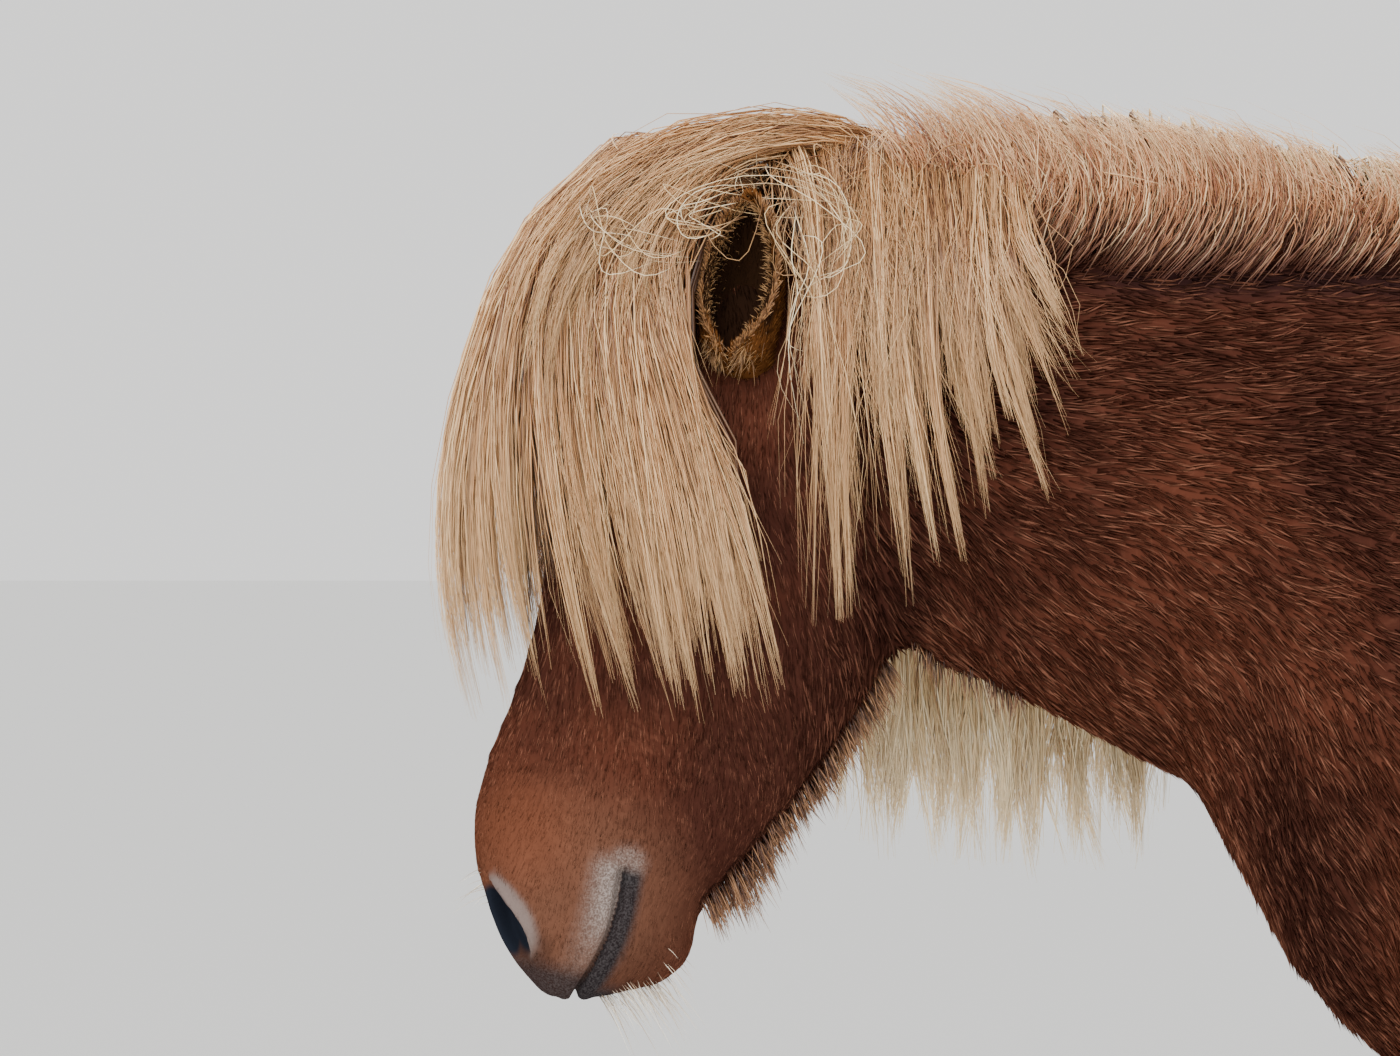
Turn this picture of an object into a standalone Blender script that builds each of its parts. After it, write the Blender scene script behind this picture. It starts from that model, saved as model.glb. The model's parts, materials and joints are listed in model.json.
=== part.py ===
"""A life-size Icelandic horse, standing still with a level neck and a hanging head.

Metres, +Z up. The horse looks along -X, its left side is at -Y, and it stands on z = 0.
The flesh is lofted from named sections, fused, given its muscles, and parted by thin cuts.
Mane, forelock, tail, jaw fringe and fetlock hair are tapered locks fused to what they grow from.
"""

import math
import random
from collections import namedtuple

import bmesh
import bpy
import numpy as np
from mathutils import Matrix, Vector
from mathutils.bvhtree import BVHTree

# Driving sizes of the adult animal
WITHERS = 1.38
BARREL = 0.265
HEAD_LENGTH = 0.56
KNEE = 0.415
HOCK = 0.515
FETLOCK = 0.165
CORONET = 0.072
EAR_LENGTH = 0.108
EAR_LEAN = 0.010
EAR_SINK = 0.09
EYE_RADIUS = 0.021
GAP = 0.0003

# Where the head hangs: the poll, and how far its long axis leans forward of plumb
POLL = Vector((-0.8126, 0.0, 1.3732))
HEAD_LEAN = math.radians(14.5)
HEAD_DOWN = Vector((-math.sin(HEAD_LEAN), 0.0, -math.cos(HEAD_LEAN)))
HEAD_FRONT = Vector((-math.cos(HEAD_LEAN), 0.0, math.sin(HEAD_LEAN)))

# Hair: how far the dense bed reaches along it, the step between layers, and the sway of a lock
BED_REACH = 0.5
LAYER_LIFT = 0.006
LOCK_SWAY = 0.010

# Nostril: middle of the left side's mirror image, half sizes across, inward and along, and lean
NOSTRIL = Vector((-0.986, 0.044, 0.884))
NOSTRIL_SIZES = (0.0085, 0.0150, 0.0235)
NOSTRIL_LEAN = math.radians(-21)

# Pieces joined at a time, how far a piece moves when a join leaves an edge that only touches, and how
# often that is tried
BATCH = 5
NUDGE = 0.0006
TRIES = 30

# Working sizes of the meshes
VOXEL = 0.006
FLESH_TRIANGLES = 6200
RING_POINTS = 32
SEED = 7

Section = namedtuple("Section", "top bottom upper middle lower")
LegRing = namedtuple("LegRing", "height centre front back half")
HeadRing = namedtuple("HeadRing", "along front back brow cheek jaw")

# Neck and trunk: top and bottom of each section (x, z as a share of the withers' height), then
# half widths at 18, 50 and 82 % of the way down, as shares of the barrel's half width
TRUNK = [
    Section((-0.8024, 0.996), (-0.789, 0.860), 0.19, 0.25, 0.21),
    Section((-0.7483, 0.998), (-0.721, 0.777), 0.21, 0.29, 0.22),
    Section((-0.6807, 0.997), (-0.664, 0.755), 0.21, 0.31, 0.23),
    Section((-0.5861, 0.992), (-0.586, 0.727), 0.22, 0.35, 0.28),
    Section((-0.4779, 0.990), (-0.522, 0.699), 0.24, 0.42, 0.36),
    Section((-0.3630, 0.991), (-0.484, 0.657), 0.27, 0.53, 0.49),
    Section((-0.2481, 0.995), (-0.428, 0.592), 0.30, 0.65, 0.60),
    Section((-0.1264, 1.001), (-0.330, 0.545), 0.33, 0.74, 0.64),
    Section((-0.0300, 0.999), (-0.170, 0.527), 0.38, 0.83, 0.67),
    Section((0.080, 0.973), (0.000, 0.517), 0.50, 0.92, 0.72),
    Section((0.200, 0.948), (0.160, 0.511), 0.62, 0.99, 0.76),
    Section((0.330, 0.940), (0.320, 0.519), 0.70, 1.00, 0.76),
    Section((0.460, 0.951), (0.470, 0.556), 0.74, 0.96, 0.71),
    Section((0.580, 0.969), (0.600, 0.610), 0.77, 0.91, 0.60),
    Section((0.700, 0.962), (0.700, 0.655), 0.73, 0.86, 0.54),
    Section((0.810, 0.922), (0.790, 0.680), 0.58, 0.72, 0.45),
    Section((0.880, 0.865), (0.850, 0.710), 0.34, 0.46, 0.32),
    Section((0.900, 0.820), (0.885, 0.750), 0.06, 0.08, 0.06),
]

# Head: distance from the poll, front and back of the profile, and half widths at the brow, cheek and
# jaw, all as shares of the head's length
HEAD = [
    HeadRing(0.000, 0.000, -0.160, 0.060, 0.085, 0.085),
    HeadRing(0.070, 0.070, -0.180, 0.098, 0.118, 0.108),
    HeadRing(0.160, 0.118, -0.196, 0.121, 0.139, 0.125),
    HeadRing(0.270, 0.143, -0.225, 0.143, 0.157, 0.136),
    HeadRing(0.393, 0.155, -0.270, 0.146, 0.166, 0.125),
    HeadRing(0.482, 0.151, -0.291, 0.115, 0.159, 0.115),
    HeadRing(0.571, 0.144, -0.272, 0.092, 0.138, 0.100),
    HeadRing(0.661, 0.148, -0.240, 0.079, 0.111, 0.084),
    HeadRing(0.732, 0.157, -0.207, 0.076, 0.096, 0.073),
    HeadRing(0.804, 0.157, -0.170, 0.084, 0.094, 0.070),
    HeadRing(0.857, 0.143, -0.141, 0.088, 0.094, 0.068),
    HeadRing(0.911, 0.113, -0.137, 0.081, 0.088, 0.068),
    HeadRing(0.955, 0.080, -0.103, 0.066, 0.074, 0.059),
    HeadRing(0.986, 0.045, -0.055, 0.043, 0.051, 0.041),
    HeadRing(0.998, 0.018, -0.025, 0.015, 0.020, 0.015),
]

# Legs: height, x of the middle, reach to the front and back, half width
FORELEG = [
    LegRing(0.930, -0.315, 0.105, 0.130, 0.062),
    LegRing(0.810, -0.290, 0.098, 0.112, 0.066),
    LegRing(0.700, -0.280, 0.078, 0.082, 0.057),
    LegRing(0.600, -0.278, 0.062, 0.062, 0.049),
    LegRing(KNEE + 0.085, -0.276, 0.050, 0.047, 0.042),
    LegRing(KNEE + 0.040, -0.276, 0.048, 0.043, 0.045),
    LegRing(KNEE, -0.275, 0.050, 0.042, 0.049),
    LegRing(KNEE - 0.040, -0.274, 0.043, 0.038, 0.042),
    LegRing(KNEE - 0.075, -0.274, 0.034, 0.040, 0.033),
    LegRing(0.270, -0.274, 0.030, 0.041, 0.029),
    LegRing(FETLOCK + 0.045, -0.274, 0.032, 0.043, 0.031),
    LegRing(FETLOCK, -0.276, 0.038, 0.047, 0.038),
    LegRing(FETLOCK - 0.035, -0.286, 0.036, 0.037, 0.035),
    LegRing(CORONET + 0.028, -0.299, 0.036, 0.036, 0.036),
    LegRing(CORONET + 0.004, -0.311, 0.044, 0.044, 0.044),
    LegRing(CORONET - 0.022, -0.318, 0.046, 0.046, 0.046),
]
HINDLEG = [
    LegRing(1.120, 0.740, 0.150, 0.140, 0.085),
    LegRing(1.000, 0.715, 0.165, 0.185, 0.098),
    LegRing(0.900, 0.705, 0.155, 0.175, 0.098),
    LegRing(0.820, 0.712, 0.130, 0.138, 0.083),
    LegRing(0.740, 0.745, 0.100, 0.098, 0.068),
    LegRing(0.660, 0.790, 0.073, 0.074, 0.055),
    LegRing(HOCK + 0.080, 0.828, 0.060, 0.072, 0.047),
    LegRing(HOCK + 0.035, 0.850, 0.056, 0.066, 0.045),
    LegRing(HOCK - 0.015, 0.862, 0.055, 0.054, 0.047),
    LegRing(HOCK - 0.060, 0.868, 0.046, 0.045, 0.043),
    LegRing(HOCK - 0.105, 0.872, 0.037, 0.041, 0.035),
    LegRing(0.320, 0.874, 0.033, 0.041, 0.031),
    LegRing(FETLOCK + 0.055, 0.874, 0.034, 0.043, 0.032),
    LegRing(FETLOCK + 0.005, 0.872, 0.040, 0.047, 0.039),
    LegRing(FETLOCK - 0.030, 0.862, 0.038, 0.037, 0.036),
    LegRing(CORONET + 0.028, 0.848, 0.037, 0.036, 0.036),
    LegRing(CORONET + 0.004, 0.836, 0.044, 0.044, 0.044),
    LegRing(CORONET - 0.022, 0.829, 0.046, 0.046, 0.046),
]

# Sideways distance of the leg's middle from the horse's middle plane
FORE_SPREAD = 0.116
HIND_SPREAD = 0.126

# Swellings and hollows of the head, each along a line from one point to another: points are (down
# from the poll, forward, sideways) as shares of the head's length, then reach and height in metres
Swelling = namedtuple("Swelling", "start end reach height")
HEAD_FORMS = {
    "eye socket": Swelling((0.335, 0.045, 0.155), (0.345, 0.030, 0.155), 0.027, 0.0090),
    "brow": Swelling((0.275, 0.050, 0.150), (0.305, 0.090, 0.125), 0.016, 0.0050),
    "temple hollow": Swelling((0.215, 0.040, 0.120), (0.235, 0.060, 0.120), 0.022, -0.0060),
    "cheek bone": Swelling((0.410, -0.015, 0.165), (0.610, 0.020, 0.110), 0.011, 0.0050),
    "cheek": Swelling((0.330, -0.140, 0.150), (0.440, -0.150, 0.140), 0.050, 0.0060),
    "nose hollow": Swelling((0.600, 0.075, 0.080), (0.740, 0.070, 0.070), 0.024, -0.0060),
    "jaw hollow": Swelling((0.590, -0.120, 0.110), (0.720, -0.090, 0.080), 0.024, -0.0060),
    "nostril": Swelling((0.880, 0.085, 0.085), (0.930, 0.070, 0.070), 0.020, 0.0075),
    "false nostril": Swelling((0.800, 0.100, 0.060), (0.850, 0.095, 0.070), 0.015, 0.0035),
    "upper lip": Swelling((0.920, -0.005, 0.080), (0.985, 0.010, 0.030), 0.013, 0.0045),
    "lower lip": Swelling((0.890, -0.065, 0.070), (0.965, -0.045, 0.030), 0.011, 0.0030),
    "lip corner": Swelling((0.838, -0.036, 0.095), (0.850, -0.036, 0.095), 0.011, -0.0040),
    "chin": Swelling((0.915, -0.125, 0.010), (0.940, -0.110, 0.010), 0.018, 0.0050),
}

# The same for the body, in metres
BODY_FORMS = {
    "jugular groove": Swelling((-0.69, 0.07, 1.10), (-0.49, 0.10, 0.97), 0.030, -0.009),
    "neck muscle": Swelling((-0.66, 0.09, 1.22), (-0.36, 0.13, 1.16), 0.060, 0.008),
    "shoulder blade": Swelling((-0.17, 0.10, 1.30), (-0.41, 0.17, 1.02), 0.055, 0.010),
    "shoulder hollow": Swelling((-0.32, 0.13, 1.26), (-0.46, 0.15, 1.08), 0.035, -0.007),
    "upper arm": Swelling((-0.30, 0.18, 0.96), (-0.22, 0.19, 0.88), 0.075, 0.014),
    "elbow hollow": Swelling((-0.12, 0.20, 0.86), (-0.12, 0.18, 0.80), 0.050, -0.012),
    "breast": Swelling((-0.50, 0.08, 0.95), (-0.46, 0.08, 0.86), 0.050, 0.014),
    "breast groove": Swelling((-0.52, 0.0, 0.98), (-0.46, 0.0, 0.84), 0.022, -0.010),
    "flank hollow": Swelling((0.47, 0.24, 1.16), (0.53, 0.22, 0.98), 0.060, -0.012),
    "hip point": Swelling((0.47, 0.22, 1.24), (0.50, 0.23, 1.20), 0.040, 0.010),
    "stifle": Swelling((0.59, 0.18, 0.90), (0.61, 0.18, 0.84), 0.055, 0.014),
    "thigh groove": Swelling((0.84, 0.16, 1.12), (0.83, 0.14, 0.86), 0.028, -0.008),
    "croup groove": Swelling((0.62, 0.0, 1.36), (0.82, 0.0, 1.26), 0.025, -0.006),
    "knee face": Swelling((-0.32, 0.116, 0.43), (-0.32, 0.116, 0.40), 0.022, 0.004),
    "hock point": Swelling((0.915, 0.126, 0.555), (0.915, 0.126, 0.53), 0.018, 0.010),
    "hock groove": Swelling((0.89, 0.17, 0.60), (0.88, 0.16, 0.56), 0.016, -0.006),
    "tendon groove": Swelling((-0.262, 0.15, 0.33), (-0.262, 0.15, 0.22), 0.010, -0.003),
    "hind tendon groove": Swelling((0.886, 0.16, 0.40), (0.886, 0.16, 0.24), 0.010, -0.003),
}

# Fringe under the jaw: where its first and last roots lie, as (down from the poll, forward) shares of
# the head's length, and how many tufts it has
JAW_FIRST = (0.530, -0.262)
JAW_LAST = (0.845, -0.128)
JAW_TUFTS = 14
JAW_SPREAD = 0.030

# Roots of the hair behind each fetlock, sideways from its middle in metres
FEATHER = (-0.018, -0.009, 0.0, 0.009, 0.018)

# Lines of the parting cuts, as (x, z)
HEAD_CUT = [(-0.800, 1.46), (-0.800, 1.36), (-0.742, 1.26), (-0.706, 1.14), (-0.708, 1.00)]
NECK_CUT = [(-0.225, 1.46), (-0.545, 0.86)]
DOCK_CUT = [(0.918, 1.30), (0.918, 1.10)]
FORELEG_CUT = [(-0.45, 0.712), (-0.10, 0.712)]
HINDLEG_CUT = [(0.565, 0.800), (0.98, 0.800)]

# Coats and horn, as the base colours of the solids
COLOURS = {
    "coat": (0.15, 0.055, 0.028, 1.0),
    "dark_coat": (0.085, 0.036, 0.022, 1.0),
    "muzzle": (0.16, 0.075, 0.050, 1.0),
    "mane": (0.62, 0.43, 0.26, 1.0),
    "horn": (0.10, 0.075, 0.055, 1.0),
    "eye": (0.012, 0.006, 0.004, 1.0),
}


def clear_scene():
    """Take the startup objects away."""
    for obj in list(bpy.data.objects):
        bpy.data.objects.remove(obj, do_unlink=True)


def collection(name, hidden=False):
    """A collection under the scene's own."""
    made = bpy.data.collections.new(name)
    made.hide_render = hidden
    bpy.context.scene.collection.children.link(made)
    return made


def material(name, roughness):
    """One surface of the animal."""
    made = bpy.data.materials.new(name)
    made.use_nodes = True
    surface = made.node_tree.nodes["Principled BSDF"]
    surface.inputs["Base Color"].default_value = COLOURS[name]
    surface.inputs["Roughness"].default_value = roughness
    made.diffuse_color = COLOURS[name]
    return made


def object_from(name, bm, home):
    """An object holding what a bmesh has, facing outward."""
    bmesh.ops.recalc_face_normals(bm, faces=bm.faces)
    mesh = bpy.data.meshes.new(name)
    bm.to_mesh(mesh)
    bm.free()
    obj = bpy.data.objects.new(name, mesh)
    home.objects.link(obj)
    return obj


def loft(name, rings, home):
    """A closed skin over rings of equally many points, with flat ends."""
    bm = bmesh.new()
    rows = [[bm.verts.new(point) for point in ring] for ring in rings]
    count = len(rings[0])
    for row, after in zip(rows, rows[1:]):
        for i in range(count):
            j = (i + 1) % count
            bm.faces.new((row[i], row[j], after[j], after[i]))
    ends = [bm.faces.new(rows[0][::-1]), bm.faces.new(rows[-1])]
    bmesh.ops.triangulate(bm, faces=ends, ngon_method="EAR_CLIP")
    return object_from(name, bm, home)


def finished(obj, kind, **settings):
    """Add one modifier to an object and make its result the object's own mesh."""
    modifier = obj.modifiers.new(kind.title(), kind)
    for name, value in settings.items():
        setattr(modifier, name, value)
    bpy.context.view_layer.update()
    graph = bpy.context.evaluated_depsgraph_get()
    mesh = bpy.data.meshes.new_from_object(obj.evaluated_get(graph))
    obj.modifiers.clear()
    obj.data = mesh
    return obj


def cut(obj, cutter, solver="EXACT"):
    """Take one shape out of another."""
    finished(obj, "BOOLEAN", operation="DIFFERENCE", object=cutter, solver=solver)
    return in_triangles(obj)


def islands(bm):
    """The separate closed surfaces of a bmesh, as lists of faces."""
    bm.faces.index_update()
    seen = set()
    found = []
    for start in bm.faces:
        if start.index in seen:
            continue
        seen.add(start.index)
        queue = [start]
        island = []
        while queue:
            face = queue.pop()
            island.append(face)
            for edge in face.edges:
                for other in edge.link_faces:
                    if other.index not in seen:
                        seen.add(other.index)
                        queue.append(other)
        found.append(island)
    return found


def in_triangles(obj):
    """Split an object's faces into triangles, once points that only lie along an edge are gone."""
    bm = bmesh.new()
    bm.from_mesh(obj.data)
    spare = [vert for vert in bm.verts if len(vert.link_edges) == 2]
    bmesh.ops.dissolve_verts(bm, verts=spare)
    bmesh.ops.triangulate(bm, faces=bm.faces, ngon_method="EAR_CLIP")
    bm.to_mesh(obj.data)
    bm.free()
    return obj


def keep_largest(obj):
    """Leave an object only its largest closed surface."""
    bm = bmesh.new()
    bm.from_mesh(obj.data)
    found = sorted(islands(bm), key=lambda faces: sum(face.calc_area() for face in faces))
    for faces in found[:-1]:
        bmesh.ops.delete(bm, geom=faces, context="FACES")
    bm.to_mesh(obj.data)
    bm.free()
    return obj


def split_by_island(obj, home):
    """One object for each closed surface that an object holds."""
    bm = bmesh.new()
    bm.from_mesh(obj.data)
    pieces = []
    for faces in islands(bm):
        part = bmesh.new()
        points = {}
        for face in faces:
            for vert in face.verts:
                if vert not in points:
                    points[vert] = part.verts.new(vert.co)
            part.faces.new([points[vert] for vert in face.verts])
        pieces.append(object_from("piece", part, home))
    bm.free()
    bpy.data.objects.remove(obj, do_unlink=True)
    return pieces


def through(rows, steps):
    """Rows of numbers with smooth in-between rows, steps to each span."""
    rows = np.asarray(rows, float)
    padded = np.vstack([2 * rows[0] - rows[1], rows, 2 * rows[-1] - rows[-2]])
    out = []
    for i in range(1, len(padded) - 2):
        a, b, c, d = padded[i - 1 : i + 3]
        for t in np.arange(steps) / steps:
            out.append(
                0.5 * (2 * b + (c - a) * t + (2 * a - 5 * b + 4 * c - d) * t**2)
                + 0.5 * (3 * b - a - 3 * c + d) * t**3
            )
    out.append(rows[-1])
    return np.array(out)


def section_ring(top, bottom, upper, middle, lower):
    """A ring from a top point round to a bottom point, with half widths at 18, 50 and 82 %."""
    top = Vector(top)
    bottom = Vector(bottom)
    ring = []
    for i in range(RING_POINTS):
        angle = 2 * math.pi * i / RING_POINTS
        down = (1 - math.cos(angle)) / 2
        fullness = np.interp(down, (0.18, 0.5, 0.82), (upper / 0.768, middle, lower / 0.768))
        side = math.sin(angle) * float(fullness)
        point = top.lerp(bottom, down)
        ring.append(Vector((point.x, side, point.z)))
    return ring


def trunk(home):
    """Neck and trunk in one, from the poll to the buttocks."""
    rows = [
        (s.top[0], s.top[1] * WITHERS, s.bottom[0], s.bottom[1] * WITHERS, s.upper, s.middle, s.lower)
        for s in TRUNK
    ]
    rings = [
        section_ring((a, 0, b), (c, 0, d), *(max(0.01, BARREL * w) for w in (u, m, low)))
        for a, b, c, d, u, m, low in through(rows, 3)
    ]
    return loft("trunk", rings, home)


def in_head(along, front, side=0.0):
    """A point of the head from shares of its length: down from the poll, forward and sideways."""
    point = POLL + HEAD_DOWN * float(along * HEAD_LENGTH) + HEAD_FRONT * float(front * HEAD_LENGTH)
    return Vector((point.x, side * HEAD_LENGTH, point.z))


def head(home):
    """The head, from the poll to the lips."""
    rings = []
    for along, front, back, brow, cheek, jaw in through(HEAD, 3):
        widths = [max(0.004, HEAD_LENGTH * w) for w in (brow, cheek, jaw)]
        rings.append(section_ring(in_head(along, front), in_head(along, back), *widths))
    return loft("head_form", rings, home)


def leg(rows, spread, home):
    """One leg, from inside the body to below the coronet."""
    rings = []
    for height, centre, front, back, half in through(rows, 3):
        ring = []
        for i in range(RING_POINTS):
            angle = 2 * math.pi * i / RING_POINTS
            reach = back if math.cos(angle) > 0 else front
            ring.append((centre + reach * math.cos(angle), spread + half * math.sin(angle), height))
        rings.append(ring)
    return loft("leg_form", rings, home)


def dock(home):
    """The fleshy root of the tail."""
    line = [(0.82, 1.215), (0.88, 1.212), (0.930, 1.185), (0.958, 1.12), (0.968, 1.02), (0.972, 0.93)]
    radii = [0.050, 0.044, 0.036, 0.030, 0.024, 0.012]
    rings = []
    line = through(line, 3)
    for i, (x, z) in enumerate(line):
        ahead = line[min(i + 1, len(line) - 1)] - line[max(i - 1, 0)]
        level = Vector((-ahead[1], 0, ahead[0])).normalized()
        radius = float(np.interp(i / 3, range(6), radii))
        ring = []
        for k in range(16):
            angle = math.pi * k / 8
            side = Vector((0, radius * math.sin(angle), 0))
            ring.append(Vector((x, 0, z)) + level * radius * math.cos(angle) + side)
        rings.append(ring)
    return loft("dock_form", rings, home)


def swell(points, normals, form):
    """Raise or sink the skin along one line, alike on both sides."""
    start = np.array(form.start)
    line = np.array(form.end) - start
    both = points * (1, 0, 1) + np.abs(points) * (0, 1, 0)
    share = np.clip((both - start) @ line / (line @ line), 0, 1)
    distance = np.linalg.norm(both - start - share[:, None] * line, axis=1)
    weight = np.exp(-((distance / form.reach) ** 2))
    points += normals * (form.height * weight)[:, None]


def shaped(obj):
    """Give the fused flesh its muscles, bones and folds."""
    mesh = obj.data
    points = np.empty(len(mesh.vertices) * 3)
    normals = np.empty(len(mesh.vertices) * 3)
    mesh.vertices.foreach_get("co", points)
    mesh.vertex_normals.foreach_get("vector", normals)
    points = points.reshape(-1, 3)
    normals = normals.reshape(-1, 3)
    for form in BODY_FORMS.values():
        swell(points, normals, form)
    for form in HEAD_FORMS.values():
        swell(points, normals, form._replace(start=in_head(*form.start), end=in_head(*form.end)))
    mesh.vertices.foreach_set("co", points.ravel())
    mesh.update()
    return obj


def flesh(home):
    """The whole animal as one skin, before it is parted."""
    forms = [trunk(home), head(home), dock(home)]
    for side in (-1, 1):
        forms.append(leg(FORELEG, side * FORE_SPREAD, home))
        forms.append(leg(HINDLEG, side * HIND_SPREAD, home))
    bm = bmesh.new()
    for form in forms:
        bm.from_mesh(form.data)
        bpy.data.objects.remove(form, do_unlink=True)
    body = object_from("flesh", bm, home)
    finished(body, "REMESH", mode="VOXEL", voxel_size=VOXEL)
    finished(body, "SMOOTH", factor=0.5, iterations=14)
    shaped(body)
    finished(body, "SMOOTH", factor=0.5, iterations=1)
    thinned = body.vertex_groups.new(name="plain")
    for vert in body.data.vertices:
        muzzle = min(1.0, max(0.0, (vert.co.x + 0.80) / 0.25))
        feet = min(1.0, max(0.0, (vert.co.z - 0.15) / 0.5))
        thinned.add([vert.index], 0.70 + 0.30 * min(muzzle, 0.5 + 0.5 * feet), "REPLACE")
    share = FLESH_TRIANGLES / (2 * len(body.data.polygons))
    finished(
        body, "DECIMATE", ratio=share, vertex_group="plain", vertex_group_factor=1.0, use_symmetry=True
    )
    body.vertex_groups.clear()
    return keep_largest(body)


def thin_cut(line, sides, home):
    """A sheet as thick as the gap between parts, along a line in (x, z), from one y to another."""
    line = [Vector((x, 0, z)) for x, z in line]
    before = []
    behind = []
    for i, point in enumerate(line):
        ahead = line[min(i + 1, len(line) - 1)] - line[max(i - 1, 0)]
        level = Vector((-ahead.z, 0, ahead.x)).normalized() * GAP / 2
        before.append(point + level)
        behind.append(point - level)
    outline = before + behind[::-1]
    rings = [[(p.x, y, p.z) for p in outline] for y in sides]
    return loft("cut", rings, home)


# Hair lines: each run of hair has a few leading lines from root to tip, at places along its root row.
# Points are (x, y, z) in metres; a line between two of these blends them.
FORELOCK = {
    -1.0: [
        (-0.822, -0.008, 1.368), (-0.848, -0.060, 1.378), (-0.876, -0.100, 1.312), (-0.856, -0.115, 1.238),
        (-0.836, -0.119, 1.168), (-0.822, -0.116, 1.098), (-0.810, -0.107, 1.026),
    ],
    -0.6: [
        (-0.824, -0.006, 1.370), (-0.868, -0.052, 1.388), (-0.914, -0.094, 1.322), (-0.915, -0.112, 1.246),
        (-0.903, -0.117, 1.168), (-0.886, -0.112, 1.092), (-0.868, -0.102, 1.016),
    ],
    -0.3: [
        (-0.826, -0.004, 1.370), (-0.882, -0.032, 1.396), (-0.946, -0.062, 1.334), (-0.966, -0.082, 1.252),
        (-0.966, -0.088, 1.168), (-0.954, -0.082, 1.088), (-0.936, -0.070, 1.010),
    ],
    0.0: [
        (-0.828, 0.000, 1.370), (-0.892, -0.006, 1.397), (-0.962, -0.010, 1.338), (-1.000, -0.012, 1.255),
        (-1.018, -0.012, 1.168), (-1.018, -0.008, 1.086), (-1.002, -0.004, 1.010),
    ],
    0.4: [
        (-0.826, 0.004, 1.370), (-0.882, 0.036, 1.394), (-0.944, 0.068, 1.332), (-0.962, 0.088, 1.250),
        (-0.962, 0.092, 1.170), (-0.950, 0.086, 1.095), (-0.934, 0.076, 1.030),
    ],
    1.0: [
        (-0.822, 0.008, 1.368), (-0.848, 0.060, 1.374), (-0.876, 0.100, 1.306), (-0.860, 0.113, 1.238),
        (-0.842, 0.115, 1.175), (-0.830, 0.112, 1.120), (-0.820, 0.106, 1.065),
    ],
}
NEAR_MANE = {
    0.0: [
        (-0.776, -0.004, 1.366), (-0.780, -0.028, 1.396), (-0.782, -0.090, 1.346), (-0.786, -0.113, 1.272),
        (-0.783, -0.118, 1.192), (-0.779, -0.112, 1.108),
    ],
    0.35: [
        (-0.745, -0.002, 1.366), (-0.748, -0.028, 1.397), (-0.750, -0.090, 1.338), (-0.752, -0.110, 1.265),
        (-0.746, -0.115, 1.190), (-0.738, -0.110, 1.112),
    ],
    0.7: [
        (-0.700, -0.002, 1.366), (-0.702, -0.028, 1.397), (-0.702, -0.088, 1.338), (-0.700, -0.106, 1.275),
        (-0.692, -0.112, 1.212), (-0.678, -0.107, 1.148),
    ],
    1.0: [
        (-0.652, -0.002, 1.366), (-0.648, -0.028, 1.394), (-0.646, -0.084, 1.340), (-0.636, -0.100, 1.298),
        (-0.618, -0.108, 1.252), (-0.594, -0.108, 1.206),
    ],
}
FAR_MANE = {
    0.0: [
        (-0.776, 0.002, 1.364), (-0.784, 0.030, 1.394), (-0.788, 0.088, 1.330), (-0.788, 0.108, 1.220),
        (-0.776, 0.100, 1.080), (-0.768, 0.082, 0.950),
    ],
    0.3: [
        (-0.640, 0.002, 1.364), (-0.664, 0.022, 1.428), (-0.658, 0.085, 1.350), (-0.652, 0.110, 1.220),
        (-0.646, 0.105, 1.060), (-0.640, 0.085, 0.930),
    ],
    0.55: [
        (-0.530, 0.002, 1.362), (-0.556, 0.020, 1.418), (-0.548, 0.090, 1.345), (-0.544, 0.122, 1.220),
        (-0.548, 0.125, 1.070), (-0.552, 0.110, 0.948),
    ],
    0.8: [
        (-0.380, 0.002, 1.360), (-0.402, 0.018, 1.402), (-0.388, 0.095, 1.340), (-0.374, 0.135, 1.230),
        (-0.372, 0.158, 1.120), (-0.375, 0.172, 1.020),
    ],
    1.0: [
        (-0.255, 0.002, 1.366), (-0.268, 0.016, 1.392), (-0.254, 0.095, 1.345), (-0.244, 0.132, 1.270),
        (-0.240, 0.154, 1.190), (-0.240, 0.168, 1.120),
    ],
}
CREST = {
    0.0: [
        (-0.655, -0.050, 1.328), (-0.640, -0.054, 1.348), (-0.642, -0.050, 1.380), (-0.662, -0.030, 1.414),
        (-0.694, 0.002, 1.440),
    ],
    0.5: [
        (-0.485, -0.056, 1.324), (-0.468, -0.060, 1.344), (-0.468, -0.056, 1.372), (-0.484, -0.036, 1.402),
        (-0.514, 0.000, 1.424),
    ],
    1.0: [
        (-0.290, -0.060, 1.330), (-0.276, -0.064, 1.346), (-0.276, -0.056, 1.368), (-0.288, -0.034, 1.386),
        (-0.310, 0.000, 1.396),
    ],
}
TAIL = {
    -1.0: [
        (0.935, 0.000, 1.170), (0.960, -0.036, 1.130), (0.972, -0.062, 0.960), (0.978, -0.075, 0.720),
        (0.978, -0.064, 0.480), (0.972, -0.028, 0.285),
    ],
    -0.4: [
        (0.940, 0.000, 1.180), (0.992, -0.025, 1.140), (1.010, -0.045, 0.960), (1.014, -0.052, 0.720),
        (1.008, -0.044, 0.450), (0.990, -0.018, 0.235),
    ],
    0.4: [
        (0.940, 0.000, 1.180), (0.992, 0.025, 1.140), (1.010, 0.045, 0.960), (1.014, 0.052, 0.720),
        (1.008, 0.044, 0.450), (0.990, 0.018, 0.235),
    ],
    1.0: [
        (0.935, 0.000, 1.170), (0.960, 0.036, 1.130), (0.972, 0.062, 0.960), (0.978, 0.075, 0.720),
        (0.978, 0.064, 0.480), (0.972, 0.028, 0.285),
    ],
}


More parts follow.
